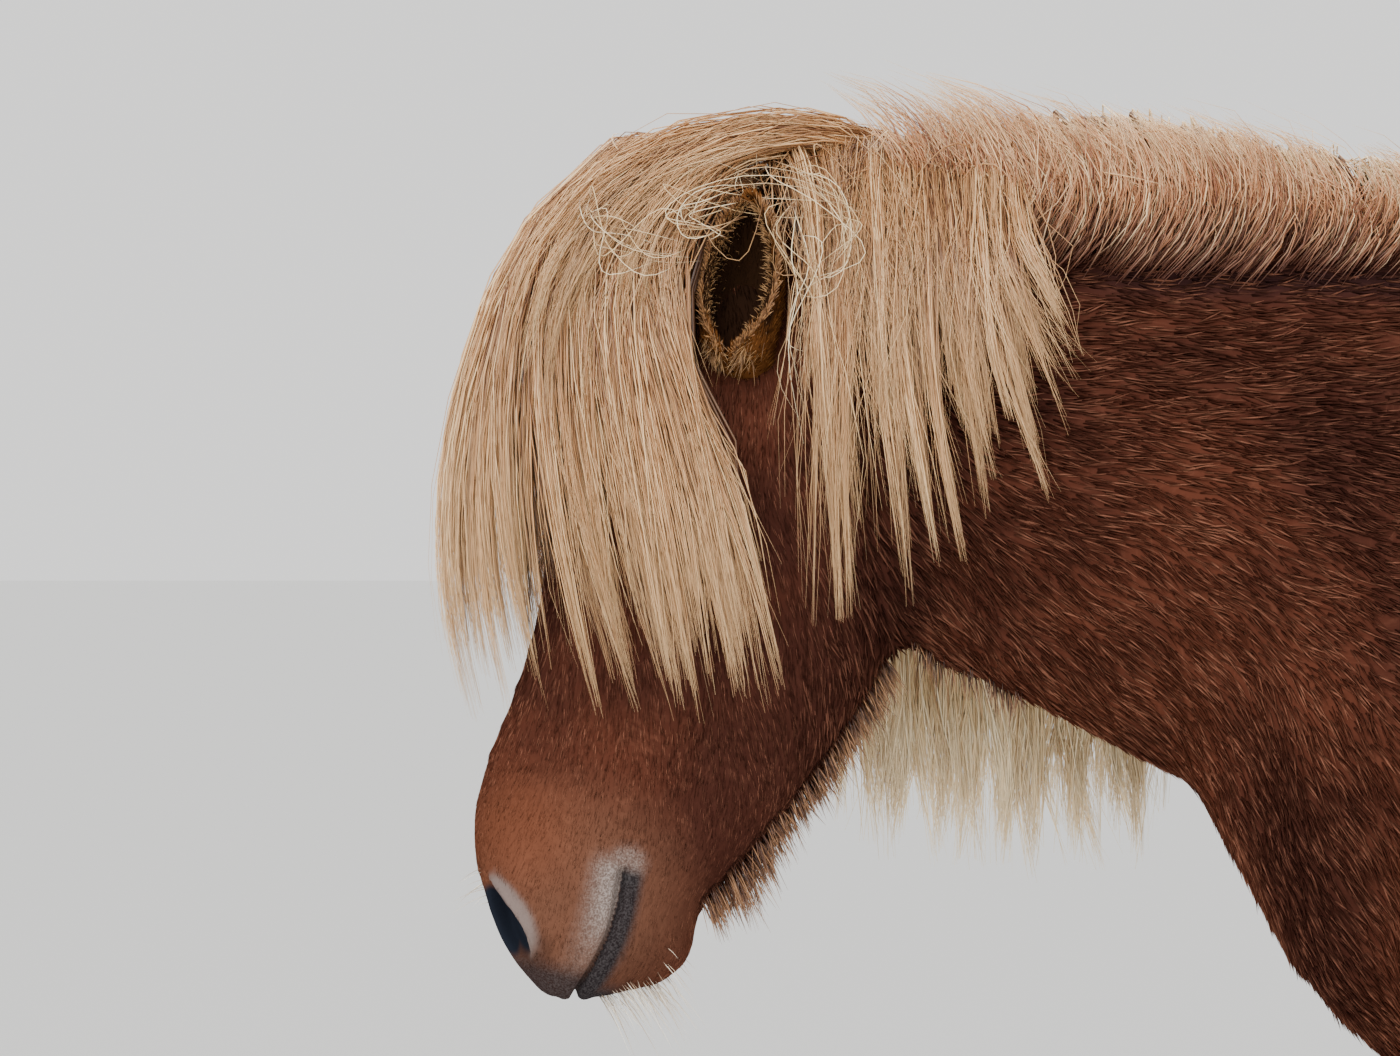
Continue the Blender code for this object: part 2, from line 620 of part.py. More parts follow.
def hair_line(run, place, points=7, reach=1.0):
    """The line a hair takes at a place along the root row, as far as a share of its length."""
    places = sorted(run)
    after = next((k for k in places if k >= place), places[-1])
    before = max([k for k in places if k <= place], default=places[0])
    mix = 0.0 if after == before else (place - before) / (after - before)
    blend = (1 - mix) * np.array(run[before]) + mix * np.array(run[after])
    fine = through(blend, 6)
    picked = np.linspace(0, reach * (len(fine) - 1), points)
    return [Vector(np.array([np.interp(t, range(len(fine)), fine[:, k]) for k in range(3)])) for t in picked]


def clear_of(point, skin, room):
    """The point, moved out of the flesh until it has this much room."""
    near, normal, _, distance = skin.find_nearest(point)
    outside = (point - near).dot(normal) > 0
    if outside and distance >= room:
        return point
    return near + normal * room


def skin_tree(objects):
    """A quick finder of the nearest skin on several objects."""
    bm = bmesh.new()
    for obj in objects:
        bm.from_mesh(obj.data)
    bmesh.ops.triangulate(bm, faces=bm.faces)
    tree = BVHTree.FromBMesh(bm)
    bm.free()
    return tree


def outward(point, axis_x):
    """The way hair faces at a point: away from the neck, face or dock that it lies on."""
    axis = Vector((point.x if axis_x is None else axis_x, 0, point.z - 0.06))
    return (point - axis).normalized()


def hair_bed(name, run, axis_x, lines, depth, triangles, skin, home):
    """The dense hair near the roots of a run, as one smooth thick form."""
    low, high = min(run), max(run)
    rings = []
    for i in range(lines):
        outer = []
        inner = []
        line = hair_line(run, low + (high - low) * i / (lines - 1), reach=BED_REACH)
        for k, point in enumerate(line):
            thick = depth * (0.6, 1.0, 1.0, 0.9, 0.8, 0.6, 0.3)[k]
            inward = -outward(point, axis_x)
            if k:
                point = clear_of(point, skin, 0.006 + thick)
            under = point + inward * thick
            outer.append(point)
            inner.append(clear_of(under, skin, 0.006) if k > 1 else under)
        rings.append(outer + inner[::-1])
    bed = loft(name, rings, home)
    finished(bed, "REMESH", mode="VOXEL", voxel_size=VOXEL)
    finished(bed, "SMOOTH", factor=0.5, iterations=3)
    return finished(bed, "DECIMATE", ratio=triangles / (2 * len(bed.data.polygons)))


def lock(line, axis_x, width, thick, home):
    """One flat lock that tapers along a line, its flat side out."""
    rings = []
    last = len(line) - 1
    for k, point in enumerate(line):
        ahead = (line[min(k + 1, last)] - line[max(k - 1, 0)]).normalized()
        out = outward(point, axis_x)
        out = (out - ahead * out.dot(ahead)).normalized()
        across = ahead.cross(out)
        half = 0.5 * width * (0.70, 1.0, 0.95, 0.80, 0.50, 0.06)[k]
        deep = 0.5 * thick * (1.0, 1.0, 0.95, 0.85, 0.60, 0.15)[k]
        rings.append([point + across * half, point + out * deep, point - across * half, point - out * deep])
    return loft("lock", rings, home)


def locks(run, axis_x, count, width, thick, skin, chance, home):
    """Overlapping locks in three layers along a run, each with its own length, width and wave."""
    low, high = min(run), max(run)
    made = []
    for i in range(count):
        place = low + (high - low) * (i + chance.uniform(0.25, 0.75)) / count
        lift = LAYER_LIFT * (i % 3)
        line = hair_line(run, place, points=6, reach=chance.uniform(0.84, 1.0))
        phase = chance.uniform(0, 2 * math.pi)
        sway = chance.uniform(0.5, 1.0) * LOCK_SWAY
        bent = []
        for k, point in enumerate(line):
            share = k / (len(line) - 1)
            out = outward(point, axis_x)
            ahead = (line[min(k + 1, 5)] - line[max(k - 1, 0)]).normalized()
            point = point + ahead.cross(out) * sway * share * math.sin(phase + 4.5 * share)
            if k:
                point = clear_of(point + out * lift * min(1, 2 * share), skin, 0.004 + thick / 2)
            bent.append(point)
        made.append(lock(bent, axis_x, width * chance.uniform(0.8, 1.15), thick, home))
    return made


def tufts(roots, way, length, width, chance, home):
    """Short tapered locks from several roots, all one way and curling in at the tips."""
    made = []
    for root in roots:
        size = length * chance.uniform(0.85, 1.15)
        lean = Vector((chance.uniform(-0.12, 0.12), chance.uniform(-0.15, 0.15), 0))
        line = []
        for k in range(6):
            share = k / 5
            fall = Vector((0, 0, -0.35 * size * share * share))
            line.append(root + (way + lean * share) * size * share + fall)
        made.append(lock(line, root.x - 0.05, width, width * 0.55, home))
    return made


def is_closed(obj):
    """Whether every edge of an object joins just two faces."""
    bm = bmesh.new()
    bm.from_mesh(obj.data)
    bmesh.ops.remove_doubles(bm, verts=bm.verts, dist=2e-7)
    closed = all(len(edge.link_faces) == 2 for edge in bm.edges)
    bm.free()
    return closed


def join_once(target, pieces, home):
    """Join a few closed pieces to a solid by one union."""
    group = bpy.data.collections.new("joined")
    home.children.link(group)
    for piece in pieces:
        group.objects.link(piece)
    finished(
        target, "BOOLEAN", operation="UNION", operand_type="COLLECTION", collection=group, solver="MANIFOLD"
    )
    bpy.data.collections.remove(group)
    return in_triangles(target)


def fuse(target, pieces, kept, chance, home):
    """Join closed pieces to a solid as one skin and thin its small facets to a share.

    Pieces that would only touch along an edge are nudged first.
    """
    for first in range(0, len(pieces), BATCH):
        batch = pieces[first : first + BATCH]
        before = target.data
        for _ in range(TRIES):
            target.data = before
            if is_closed(join_once(target, batch, home)):
                break
            for piece in batch:
                nudge = [chance.uniform(-NUDGE, NUDGE) for _ in range(3)]
                piece.data.transform(Matrix.Translation(nudge))
    for piece in pieces:
        bpy.data.objects.remove(piece, do_unlink=True)
    keep_largest(target)
    return finished(target, "DECIMATE", ratio=kept)


def grown(obj, by, home):
    """A copy of a solid with its skin moved outward."""
    copy = obj.copy()
    copy.data = obj.data.copy()
    home.objects.link(copy)
    return finished(copy, "DISPLACE", strength=by, mid_level=0.0)


def clear_from(obj, room, chance):
    """Cut a solid clear of the room round its neighbour, and keep its largest surface."""
    before = obj.data
    for _ in range(TRIES):
        obj.data = before
        cut(obj, room, "MANIFOLD")
        if is_closed(keep_largest(obj)):
            break
        nudge = [chance.uniform(-NUDGE, NUDGE) / 6 for _ in range(3)]
        room.data.transform(Matrix.Translation(nudge))
    return obj


# Ear: share of its length, distance from the middle line to the rim, how far round the shell closes
# in degrees, and wall thickness in metres
EAR = [
    (-0.30, 0.0140, 176, 0.0060),
    (-0.12, 0.0210, 176, 0.0054),
    (0.04, 0.0235, 175, 0.0046),
    (0.14, 0.0256, 168, 0.0043),
    (0.22, 0.0270, 150, 0.0041),
    (0.34, 0.0278, 128, 0.0038),
    (0.50, 0.0272, 112, 0.0034),
    (0.66, 0.0240, 102, 0.0031),
    (0.80, 0.0186, 95, 0.0028),
    (0.91, 0.0118, 91, 0.0026),
    (0.98, 0.0056, 88, 0.0022),
    (1.005, 0.0020, 86, 0.0012),
]


def ear_frame(side):
    """Root, direction and opening of one ear."""
    root = in_head(0.205, -0.016, 0.150)
    root.y *= side
    up = Vector((0.05, 0.30 * side, 0.95)).normalized()
    opening = Vector((-0.30, 0.95 * side, 0.0))
    opening = (opening - opening.dot(up) * up).normalized()
    return root, up, opening


def ear_rings(side, grow, filled):
    """Rings of one ear's shell or, filled, of the room it takes."""
    root, up, opening = ear_frame(side)
    across = up.cross(opening)
    rings = []
    for share, reach, close, wall in EAR:
        inward = EAR_LEAN * share + EAR_SINK * max(0, 0.10 - share)
        middle = root + up * EAR_LENGTH * share - opening * inward
        ring = []
        if filled:
            for k in range(20):
                angle = math.pi * k / 10
                size = reach + grow
                point = opening * size * math.cos(angle) + across * size * math.sin(angle)
                ring.append(middle + point)
        else:
            half = math.radians(close)
            arc = [math.pi - half + 2 * half * k / 9 for k in range(10)]
            for radius, angles in ((reach, arc), (reach - wall, arc[::-1])):
                for angle in angles:
                    point = opening * radius * math.cos(angle) + across * radius * math.sin(angle)
                    ring.append(middle + point)
        rings.append(ring)
    if filled:
        rings.insert(0, [point - up * grow for point in rings[0]])
        rings.append([point + up * grow for point in rings[-1]])
    return rings


def ear(side, home):
    """One ear: a pointed cup open to the side."""
    name = "ear_left" if side < 0 else "ear_right"
    return loft(name, ear_rings(side, 0, False), home)


def ball(name, centre, sizes, turn, home, segments=20):
    """A stretched ball at a place."""
    bm = bmesh.new()
    bmesh.ops.create_uvsphere(bm, u_segments=segments, v_segments=segments // 2, radius=1.0)
    move = Matrix.Translation(centre) @ turn @ Matrix.Diagonal((*sizes, 1.0))
    bmesh.ops.transform(bm, matrix=move, verts=bm.verts)
    return object_from(name, bm, home)


def eye_centre(side):
    """Middle of one eyeball."""
    middle = in_head(0.340, 0.037, 0.134)
    middle.y *= side
    return middle


def eye(side, home):
    """One eyeball."""
    name = "eye_left" if side < 0 else "eye_right"
    return ball(name, eye_centre(side), (EYE_RADIUS,) * 3, Matrix(), home, 16)


def jaw_roots():
    """Roots of the fringe under the jaw, on one side of the middle and the other in turn."""
    roots = []
    for i in range(JAW_TUFTS):
        share = i / (JAW_TUFTS - 1)
        along = JAW_FIRST[0] + share * (JAW_LAST[0] - JAW_FIRST[0])
        front = JAW_FIRST[1] + share * (JAW_LAST[1] - JAW_FIRST[1])
        roots.append(in_head(along, front, JAW_SPREAD * (1 - share) * (-1) ** i))
    return roots


def open_eye(face, side, skin, cutters):
    """Sink the eyeball's hollow into the head and open the lids as a leaning almond."""
    middle = eye_centre(side)
    surface, _, _, _ = skin.ray_cast(middle + Vector((0, 0.1 * side, 0)), Vector((0, -side, 0)))
    reach = abs(surface.y - middle.y) + 0.0015
    hollow = ball("eye_hollow", middle, (EYE_RADIUS + GAP,) * 3, Matrix(), cutters, 16)
    cut(face, hollow)
    along = (HEAD_DOWN * 0.86 + HEAD_FRONT * 0.51).normalized()
    over = Vector((-along.z, 0, along.x))
    over = over if over.dot(HEAD_FRONT) > 0 else -over
    outline = []
    for k in range(16):
        angle = math.pi * k / 8
        height = 0.0105 if math.sin(angle) > 0 else 0.0085
        pinch = abs(math.sin(angle)) ** 1.25
        way = math.copysign(1, math.sin(angle))
        outline.append(along * 0.0180 * math.cos(angle) + over * height * pinch * way)
    outline = [p + over * 0.0006 * (1 if 0 < k < 8 else -1) for k, p in enumerate(outline)]
    rings = []
    for depth, size in ((0.004, 0.75), (reach, 1.10)):
        rings.append([middle + Vector((0, side * depth, 0)) + p * size for p in outline])
    almond = loft("lid_opening", rings, cutters)
    cut(face, almond)


def open_nostril(face, side, cutters):
    """Hollow one nostril: a long oval that leans forward at its top."""
    centre = Vector((NOSTRIL.x, NOSTRIL.y * side, NOSTRIL.z))
    turn = Matrix.Rotation(NOSTRIL_LEAN, 4, "Y") @ Matrix.Rotation(-0.5 * side, 4, "Z")
    cut(face, ball("nostril_hollow", centre, NOSTRIL_SIZES, turn, cutters, 14))


def open_mouth(face, cutters):
    """Part the lips with a thin slot that follows the muzzle round."""
    outer = [(0.832, 0.20), (1.06, 0.20), (1.06, -0.20), (0.832, -0.20)]
    inner = [(0.832, -0.070), (0.900, -0.052), (0.962, -0.024)]
    inner += [(along, -out) for along, out in inner[::-1]]
    outline = outer + inner
    rings = []
    for thick in (-0.0012, 0.0012):
        ring = []
        for along, out in outline:
            front = -0.037 + 0.12 * (along - 0.832)
            ring.append(in_head(along, front, out) + HEAD_FRONT * thick)
        rings.append(ring)
    cut(face, loft("lip_line", rings, cutters), "MANIFOLD")


def coronet_height(x, middle):
    """Height of the line between skin and hoof, which falls to the heel."""
    return CORONET - 0.40 * (x - middle)


def hoof(name, middle, spread, home):
    """One hoof, from the flat sole up to the coronet."""
    rings = []
    for share in (0.0, 0.12, 0.5, 1.0):
        ring = []
        for k in range(20):
            angle = math.pi * k / 10
            back = math.cos(angle) > 0
            sole = (middle - 0.014 + (0.046 if back else 0.066) * math.cos(angle), 0.057 * math.sin(angle))
            top = (middle + 0.0445 * math.cos(angle), 0.0445 * math.sin(angle))
            wall = (sole[0] + (top[0] - sole[0]) * share, sole[1] + (top[1] - sole[1]) * share)
            bevel = 1.0 if share else 0.975
            height = share * (coronet_height(top[0], middle) - GAP)
            x = middle - 0.014 + (wall[0] - middle + 0.014) * bevel
            ring.append((x, spread + wall[1] * bevel, height))
        rings.append(ring)
    return loft(name, rings, home)


def trim_for_hoof(shank, middle, spread, cutters):
    """Cut a leg off along its coronet."""
    low = [(middle - 0.12, -0.05), (middle + 0.12, -0.05)]
    high = [(x, coronet_height(x, middle)) for x in (middle + 0.12, middle - 0.12)]
    rings = [[(x, spread + y, z) for x, z in low + high] for y in (-0.09, 0.09)]
    return keep_largest(cut(shank, loft("below_coronet", rings, cutters)))


def name_parts(pieces):
    """Name the pieces of the parted flesh by where they lie."""
    for piece in pieces:
        points = np.array([v.co for v in piece.data.vertices])
        low, high = points.min(axis=0), points.max(axis=0)
        side = "left" if low[1] + high[1] < 0 else "right"
        if high[2] < 0.75:
            piece.name = f"foreleg_{side}"
        elif high[2] < 0.85:
            piece.name = f"hindleg_{side}"
        elif low[0] > 0.90:
            piece.name = "tail"
        elif high[0] - low[0] > 0.9:
            piece.name = "torso"
        elif low[0] < -0.95:
            piece.name = "head"
        else:
            piece.name = "neck"
    return {piece.name: piece for piece in pieces}


def shade(obj, surface):
    """Give an object its surface and smooth shading."""
    obj.data.name = obj.name
    obj.data.materials.clear()
    obj.data.materials.append(surface)
    for face in obj.data.polygons:
        face.use_smooth = True
        face.material_index = 0


def build():
    """Model the horse, part by part."""
    clear_scene()
    horse = collection("icelandic_horse")
    cutters = collection("cutters", hidden=True)
    surfaces = {
        "coat": material("coat", 0.6),
        "dark_coat": material("dark_coat", 0.6),
        "muzzle": material("muzzle", 0.55),
        "mane": material("mane", 0.5),
        "horn": material("horn", 0.45),
        "eye": material("eye", 0.05),
    }

    body = flesh(horse)
    for line, sides in (
        (HEAD_CUT, (-0.3, 0.3)),
        (NECK_CUT, (-0.4, 0.4)),
        (DOCK_CUT, (-0.12, 0.12)),
        (FORELEG_CUT, (-0.3, -0.02)),
        (FORELEG_CUT, (0.02, 0.3)),
        (HINDLEG_CUT, (-0.35, -0.01)),
        (HINDLEG_CUT, (0.01, 0.35)),
    ):
        cut(body, thin_cut(line, sides, cutters))
    parts = name_parts(split_by_island(body, horse))
    print("parts", sorted(parts), {k: len(p.data.polygons) for k, p in parts.items()})

    face = parts["head"]
    bare_face = skin_tree([face])
    for side, name in ((-1, "left"), (1, "right")):
        for leg_name, rows, spread in (("fore", FORELEG, FORE_SPREAD), ("hind", HINDLEG, HIND_SPREAD)):
            middle = rows[-2].centre
            trim_for_hoof(parts[f"{leg_name}leg_{name}"], middle, side * spread, cutters)
            parts[f"hoof_{leg_name}_{name}"] = hoof(f"hoof_{leg_name}_{name}", middle, side * spread, horse)
        parts[f"ear_{name}"] = ear(side, horse)
        parts[f"eye_{name}"] = eye(side, horse)

    ear_rooms = [loft("ear_room", ear_rings(side, 4 * GAP, True), cutters) for side in (-1, 1)]
    skin = skin_tree([parts[k] for k in ("head", "neck", "torso")] + ear_rooms)
    chance = random.Random(SEED)
    fringe = [hair_bed("forelock_bed", FORELOCK, -0.88, 11, 0.020, 200, skin, horse)]
    fringe += locks(FORELOCK, -0.88, 20, 0.050, 0.011, skin, chance, horse)
    fringe += tufts(jaw_roots(), Vector((0.25, 0, -0.75)), 0.036, 0.023, chance, horse)
    fuse(face, fringe, 0.66, chance, horse)

    mane = [hair_bed("near_mane_bed", NEAR_MANE, None, 7, 0.016, 120, skin, horse)]
    mane += [hair_bed("far_mane_bed", FAR_MANE, None, 10, 0.016, 200, skin, horse)]
    mane += locks(NEAR_MANE, None, 14, 0.040, 0.010, skin, chance, horse)
    mane += locks(FAR_MANE, None, 25, 0.052, 0.012, skin, chance, horse)
    mane += locks(CREST, None, 13, 0.042, 0.010, skin, chance, horse)
    fuse(parts["neck"], mane, 0.56, chance, horse)
    for side in (-1, 1):
        open_eye(face, side, bare_face, cutters)
        open_nostril(face, side, cutters)
    open_mouth(face, cutters)
    for room in ear_rooms:
        clear_from(face, room, chance)
    near_neck = [grown(near, 2 * GAP, cutters) for near in (face, parts["torso"])]
    for room in near_neck + ear_rooms:
        clear_from(parts["neck"], room, chance)

    legs = [parts[name] for name in sorted(parts) if "leg" in name]
    tail_skin = skin_tree([parts["torso"], parts["tail"]] + legs)
    hair = [hair_bed("tail_bed", TAIL, 0.970, 8, 0.026, 200, tail_skin, horse)]
    hair += locks(TAIL, 0.970, 20, 0.056, 0.013, tail_skin, chance, horse)
    fuse(parts["tail"], hair, 0.65, chance, horse)
    for near in [parts["torso"]] + legs:
        if near.name.startswith(("torso", "hind")):
            clear_from(parts["tail"], grown(near, 2 * GAP, cutters), chance)

    for shank in legs:
        ring = [v.co for v in shank.data.vertices if abs(v.co.z - FETLOCK) < 0.02]
        heel = max(p.x for p in ring)
        middle = sum(p.y for p in ring) / len(ring)
        roots = [Vector((heel - 0.010 - 0.3 * abs(y), middle + y, FETLOCK + 0.006)) for y in FEATHER]
        fuse(shank, tufts(roots, Vector((0.45, 0, -0.72)), 0.058, 0.017, chance, horse), 0.9, chance, horse)

    for name in ("head", "neck", "tail"):
        finished(parts[name], "DECIMATE", ratio=0.96)
    for cutter in cutters.objects:
        cutter.display_type = "WIRE"

    for name, part in parts.items():
        kind = "coat"
        if name.startswith("hoof"):
            kind = "horn"
        elif name.startswith("eye"):
            kind = "eye"
        elif name == "tail":
            kind = "mane"
        elif name.startswith(("ear", "head")):
            kind = "muzzle" if name == "head" else "dark_coat"
        shade(part, surfaces[kind])
        print(name, len(part.data.polygons))


build()
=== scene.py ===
# %% [markdown]
# # An Icelandic horse in mesh
# This lesson dresses the solids of a standing Icelandic horse. The solids give every size. Over them
# go one smooth skin, a short chestnut coat, long flaxen hair, eyes, ears and hooves. All of it is
# mesh, so that it can leave Blender in any format.

import json
import math
from collections import namedtuple

import bmesh
import bpy
import numpy as np
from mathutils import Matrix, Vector
from mathutils.bvhtree import BVHTree

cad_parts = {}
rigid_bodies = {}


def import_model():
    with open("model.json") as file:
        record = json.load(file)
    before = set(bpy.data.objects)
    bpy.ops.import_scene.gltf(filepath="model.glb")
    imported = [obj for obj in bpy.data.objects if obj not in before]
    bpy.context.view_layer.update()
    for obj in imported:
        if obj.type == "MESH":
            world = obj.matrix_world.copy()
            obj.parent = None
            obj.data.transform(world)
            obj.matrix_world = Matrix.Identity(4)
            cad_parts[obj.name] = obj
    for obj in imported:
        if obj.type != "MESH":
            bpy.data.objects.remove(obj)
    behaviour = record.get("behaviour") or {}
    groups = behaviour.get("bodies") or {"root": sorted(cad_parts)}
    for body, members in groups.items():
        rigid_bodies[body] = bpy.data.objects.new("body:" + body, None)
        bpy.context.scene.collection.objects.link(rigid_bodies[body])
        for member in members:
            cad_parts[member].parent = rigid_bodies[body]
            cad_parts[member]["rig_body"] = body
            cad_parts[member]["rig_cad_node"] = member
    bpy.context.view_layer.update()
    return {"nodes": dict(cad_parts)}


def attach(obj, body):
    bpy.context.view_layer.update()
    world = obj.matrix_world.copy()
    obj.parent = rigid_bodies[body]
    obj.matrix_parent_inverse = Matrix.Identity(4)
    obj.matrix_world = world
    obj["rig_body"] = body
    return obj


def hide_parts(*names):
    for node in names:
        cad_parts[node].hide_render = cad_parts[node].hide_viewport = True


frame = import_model()
bpy.ops.object.select_all(action="DESELECT")
print("solids", sorted(frame["nodes"]))

# %% [markdown]
# ## Sizes
# Metres, with +Z up. The horse looks along -X and its left side is at -Y. The head hangs from the
# poll, so points of the head are given as shares of its length: down from the poll, forward of the
# head's axis, and sideways. A named function turns these shares into a place.

# %% Sizes and the frame of the head
WITHERS = 1.38
BARREL = 0.265
HEAD_LENGTH = 0.56
KNEE, HOCK, FETLOCK, CORONET = 0.415, 0.515, 0.165, 0.072
EAR_LENGTH = 0.108
EYE_RADIUS = 0.021
FORE_SPREAD, HIND_SPREAD = 0.116, 0.126
COAT_DEPTH = 0.0035
VOXEL = 0.009
SEED = 11

POLL = Vector((-0.8126, 0.0, 1.3732))
HEAD_LEAN = math.radians(14.5)
HEAD_DOWN = Vector((-math.sin(HEAD_LEAN), 0.0, -math.cos(HEAD_LEAN)))
HEAD_FRONT = Vector((-math.cos(HEAD_LEAN), 0.0, math.sin(HEAD_LEAN)))


def in_head(along, front, side=0.0):
    """A place in the head from shares of its length."""
    point = POLL + HEAD_DOWN * float(along * HEAD_LENGTH) + HEAD_FRONT * float(front * HEAD_LENGTH)
    return Vector((point.x, side * HEAD_LENGTH, point.z))


print("lips at", tuple(round(v, 3) for v in in_head(1.0, 0.0)))

# %% [markdown]
# ## The forms under the skin
# A body is easiest to build as a few lofts: rings of points joined row by row. Neck and trunk are one
# loft, the head another, and each leg and the dock of the tail their own. The rows below give each
# ring's place and widths.

# %% Rows of the lofts
Section = namedtuple("Section", "top bottom upper middle lower")
HeadRing = namedtuple("HeadRing", "along front back brow cheek jaw")
LegRing = namedtuple("LegRing", "height centre front back half")

TRUNK = [
    Section((-0.8024, 0.996), (-0.789, 0.860), 0.19, 0.25, 0.21),
    Section((-0.7483, 0.998), (-0.721, 0.777), 0.21, 0.29, 0.22),
    Section((-0.6807, 0.997), (-0.664, 0.755), 0.21, 0.31, 0.23),
    Section((-0.5861, 0.992), (-0.586, 0.727), 0.22, 0.35, 0.28),
    Section((-0.4779, 0.990), (-0.522, 0.699), 0.24, 0.42, 0.36),
    Section((-0.3630, 0.991), (-0.484, 0.657), 0.27, 0.53, 0.49),
    Section((-0.2481, 0.995), (-0.428, 0.592), 0.30, 0.65, 0.60),
    Section((-0.1264, 1.001), (-0.330, 0.545), 0.33, 0.74, 0.64),
    Section((-0.0300, 0.999), (-0.170, 0.527), 0.38, 0.83, 0.67),
    Section((0.080, 0.973), (0.000, 0.517), 0.50, 0.92, 0.72),
    Section((0.200, 0.948), (0.160, 0.511), 0.62, 0.99, 0.76),
    Section((0.330, 0.940), (0.320, 0.519), 0.70, 1.00, 0.76),
    Section((0.460, 0.951), (0.470, 0.556), 0.74, 0.96, 0.71),
    Section((0.580, 0.969), (0.600, 0.610), 0.77, 0.91, 0.60),
    Section((0.700, 0.962), (0.700, 0.655), 0.73, 0.86, 0.54),
    Section((0.810, 0.922), (0.790, 0.680), 0.58, 0.72, 0.45),
    Section((0.880, 0.865), (0.850, 0.710), 0.34, 0.46, 0.32),
    Section((0.900, 0.820), (0.885, 0.750), 0.06, 0.08, 0.06),
]
HEAD = [
    HeadRing(0.000, 0.000, -0.160, 0.060, 0.085, 0.085),
    HeadRing(0.070, 0.070, -0.180, 0.098, 0.118, 0.108),
    HeadRing(0.160, 0.118, -0.196, 0.121, 0.139, 0.125),
    HeadRing(0.270, 0.143, -0.225, 0.143, 0.157, 0.136),
    HeadRing(0.393, 0.155, -0.270, 0.146, 0.166, 0.125),
    HeadRing(0.482, 0.151, -0.291, 0.115, 0.159, 0.115),
    HeadRing(0.571, 0.144, -0.272, 0.092, 0.138, 0.100),
    HeadRing(0.661, 0.148, -0.240, 0.079, 0.111, 0.084),
    HeadRing(0.732, 0.157, -0.207, 0.076, 0.096, 0.073),
    HeadRing(0.804, 0.157, -0.170, 0.084, 0.094, 0.070),
    HeadRing(0.857, 0.143, -0.141, 0.088, 0.094, 0.068),
    HeadRing(0.911, 0.113, -0.137, 0.081, 0.088, 0.068),
    HeadRing(0.955, 0.080, -0.103, 0.066, 0.074, 0.059),
    HeadRing(0.986, 0.045, -0.055, 0.043, 0.051, 0.041),
    HeadRing(0.998, 0.018, -0.025, 0.015, 0.020, 0.015),
]
FORELEG = [
    LegRing(0.930, -0.315, 0.105, 0.130, 0.062),
    LegRing(0.810, -0.290, 0.098, 0.112, 0.066),
    LegRing(0.700, -0.280, 0.078, 0.082, 0.057),
    LegRing(0.600, -0.278, 0.062, 0.062, 0.049),
    LegRing(KNEE + 0.085, -0.276, 0.050, 0.047, 0.042),
    LegRing(KNEE + 0.040, -0.276, 0.048, 0.043, 0.045),
    LegRing(KNEE, -0.275, 0.050, 0.042, 0.049),
    LegRing(KNEE - 0.040, -0.274, 0.043, 0.038, 0.042),
    LegRing(KNEE - 0.075, -0.274, 0.034, 0.040, 0.033),
    LegRing(0.270, -0.274, 0.030, 0.041, 0.029),
    LegRing(FETLOCK + 0.045, -0.274, 0.032, 0.043, 0.031),
    LegRing(FETLOCK, -0.276, 0.038, 0.047, 0.038),
    LegRing(FETLOCK - 0.035, -0.286, 0.036, 0.037, 0.035),
    LegRing(CORONET + 0.028, -0.299, 0.036, 0.036, 0.036),
    LegRing(CORONET + 0.004, -0.311, 0.044, 0.044, 0.044),
    LegRing(CORONET - 0.022, -0.318, 0.046, 0.046, 0.046),
]
HINDLEG = [
    LegRing(1.120, 0.740, 0.150, 0.140, 0.085),
    LegRing(1.000, 0.715, 0.165, 0.185, 0.098),
    LegRing(0.900, 0.705, 0.155, 0.175, 0.098),
    LegRing(0.820, 0.712, 0.130, 0.138, 0.083),
    LegRing(0.740, 0.745, 0.100, 0.098, 0.068),
    LegRing(0.660, 0.790, 0.073, 0.074, 0.055),
    LegRing(HOCK + 0.080, 0.828, 0.060, 0.072, 0.047),
    LegRing(HOCK + 0.035, 0.850, 0.056, 0.066, 0.045),
    LegRing(HOCK - 0.015, 0.862, 0.055, 0.054, 0.047),
    LegRing(HOCK - 0.060, 0.868, 0.046, 0.045, 0.043),
    LegRing(HOCK - 0.105, 0.872, 0.037, 0.041, 0.035),
    LegRing(0.320, 0.874, 0.033, 0.041, 0.031),
    LegRing(FETLOCK + 0.055, 0.874, 0.034, 0.043, 0.032),
    LegRing(FETLOCK + 0.005, 0.872, 0.040, 0.047, 0.039),
    LegRing(FETLOCK - 0.030, 0.862, 0.038, 0.037, 0.036),
    LegRing(CORONET + 0.028, 0.848, 0.037, 0.036, 0.036),
    LegRing(CORONET + 0.004, 0.836, 0.044, 0.044, 0.044),
    LegRing(CORONET - 0.022, 0.829, 0.046, 0.046, 0.046),
]
DOCK = [(0.82, 1.215), (0.88, 1.212), (0.930, 1.185), (0.958, 1.12), (0.968, 1.02), (0.972, 0.93)]
DOCK_RADII = [0.050, 0.044, 0.036, 0.030, 0.024, 0.012]
print("rings", len(TRUNK), len(HEAD), len(FORELEG), len(HINDLEG))

# %% [markdown]
# ## Lofting
# Between the rows a Catmull-Rom curve adds more, so that the rings flow into each other. The loft
# joins each ring to the next with four-sided faces and closes both ends.

# %% Loft helpers
RING_POINTS = 32


def through(rows, steps):
    """Rows of numbers with smooth in-between rows, steps to each span."""
    rows = np.asarray(rows, float)
    padded = np.vstack([2 * rows[0] - rows[1], rows, 2 * rows[-1] - rows[-2]])
    out = []
    for i in range(1, len(padded) - 2):
        a, b, c, d = padded[i - 1 : i + 3]
        for t in np.arange(steps) / steps:
            out.append(
                0.5 * (2 * b + (c - a) * t + (2 * a - 5 * b + 4 * c - d) * t**2)
                + 0.5 * (3 * b - a - 3 * c + d) * t**3
            )
    out.append(rows[-1])
    return np.array(out)


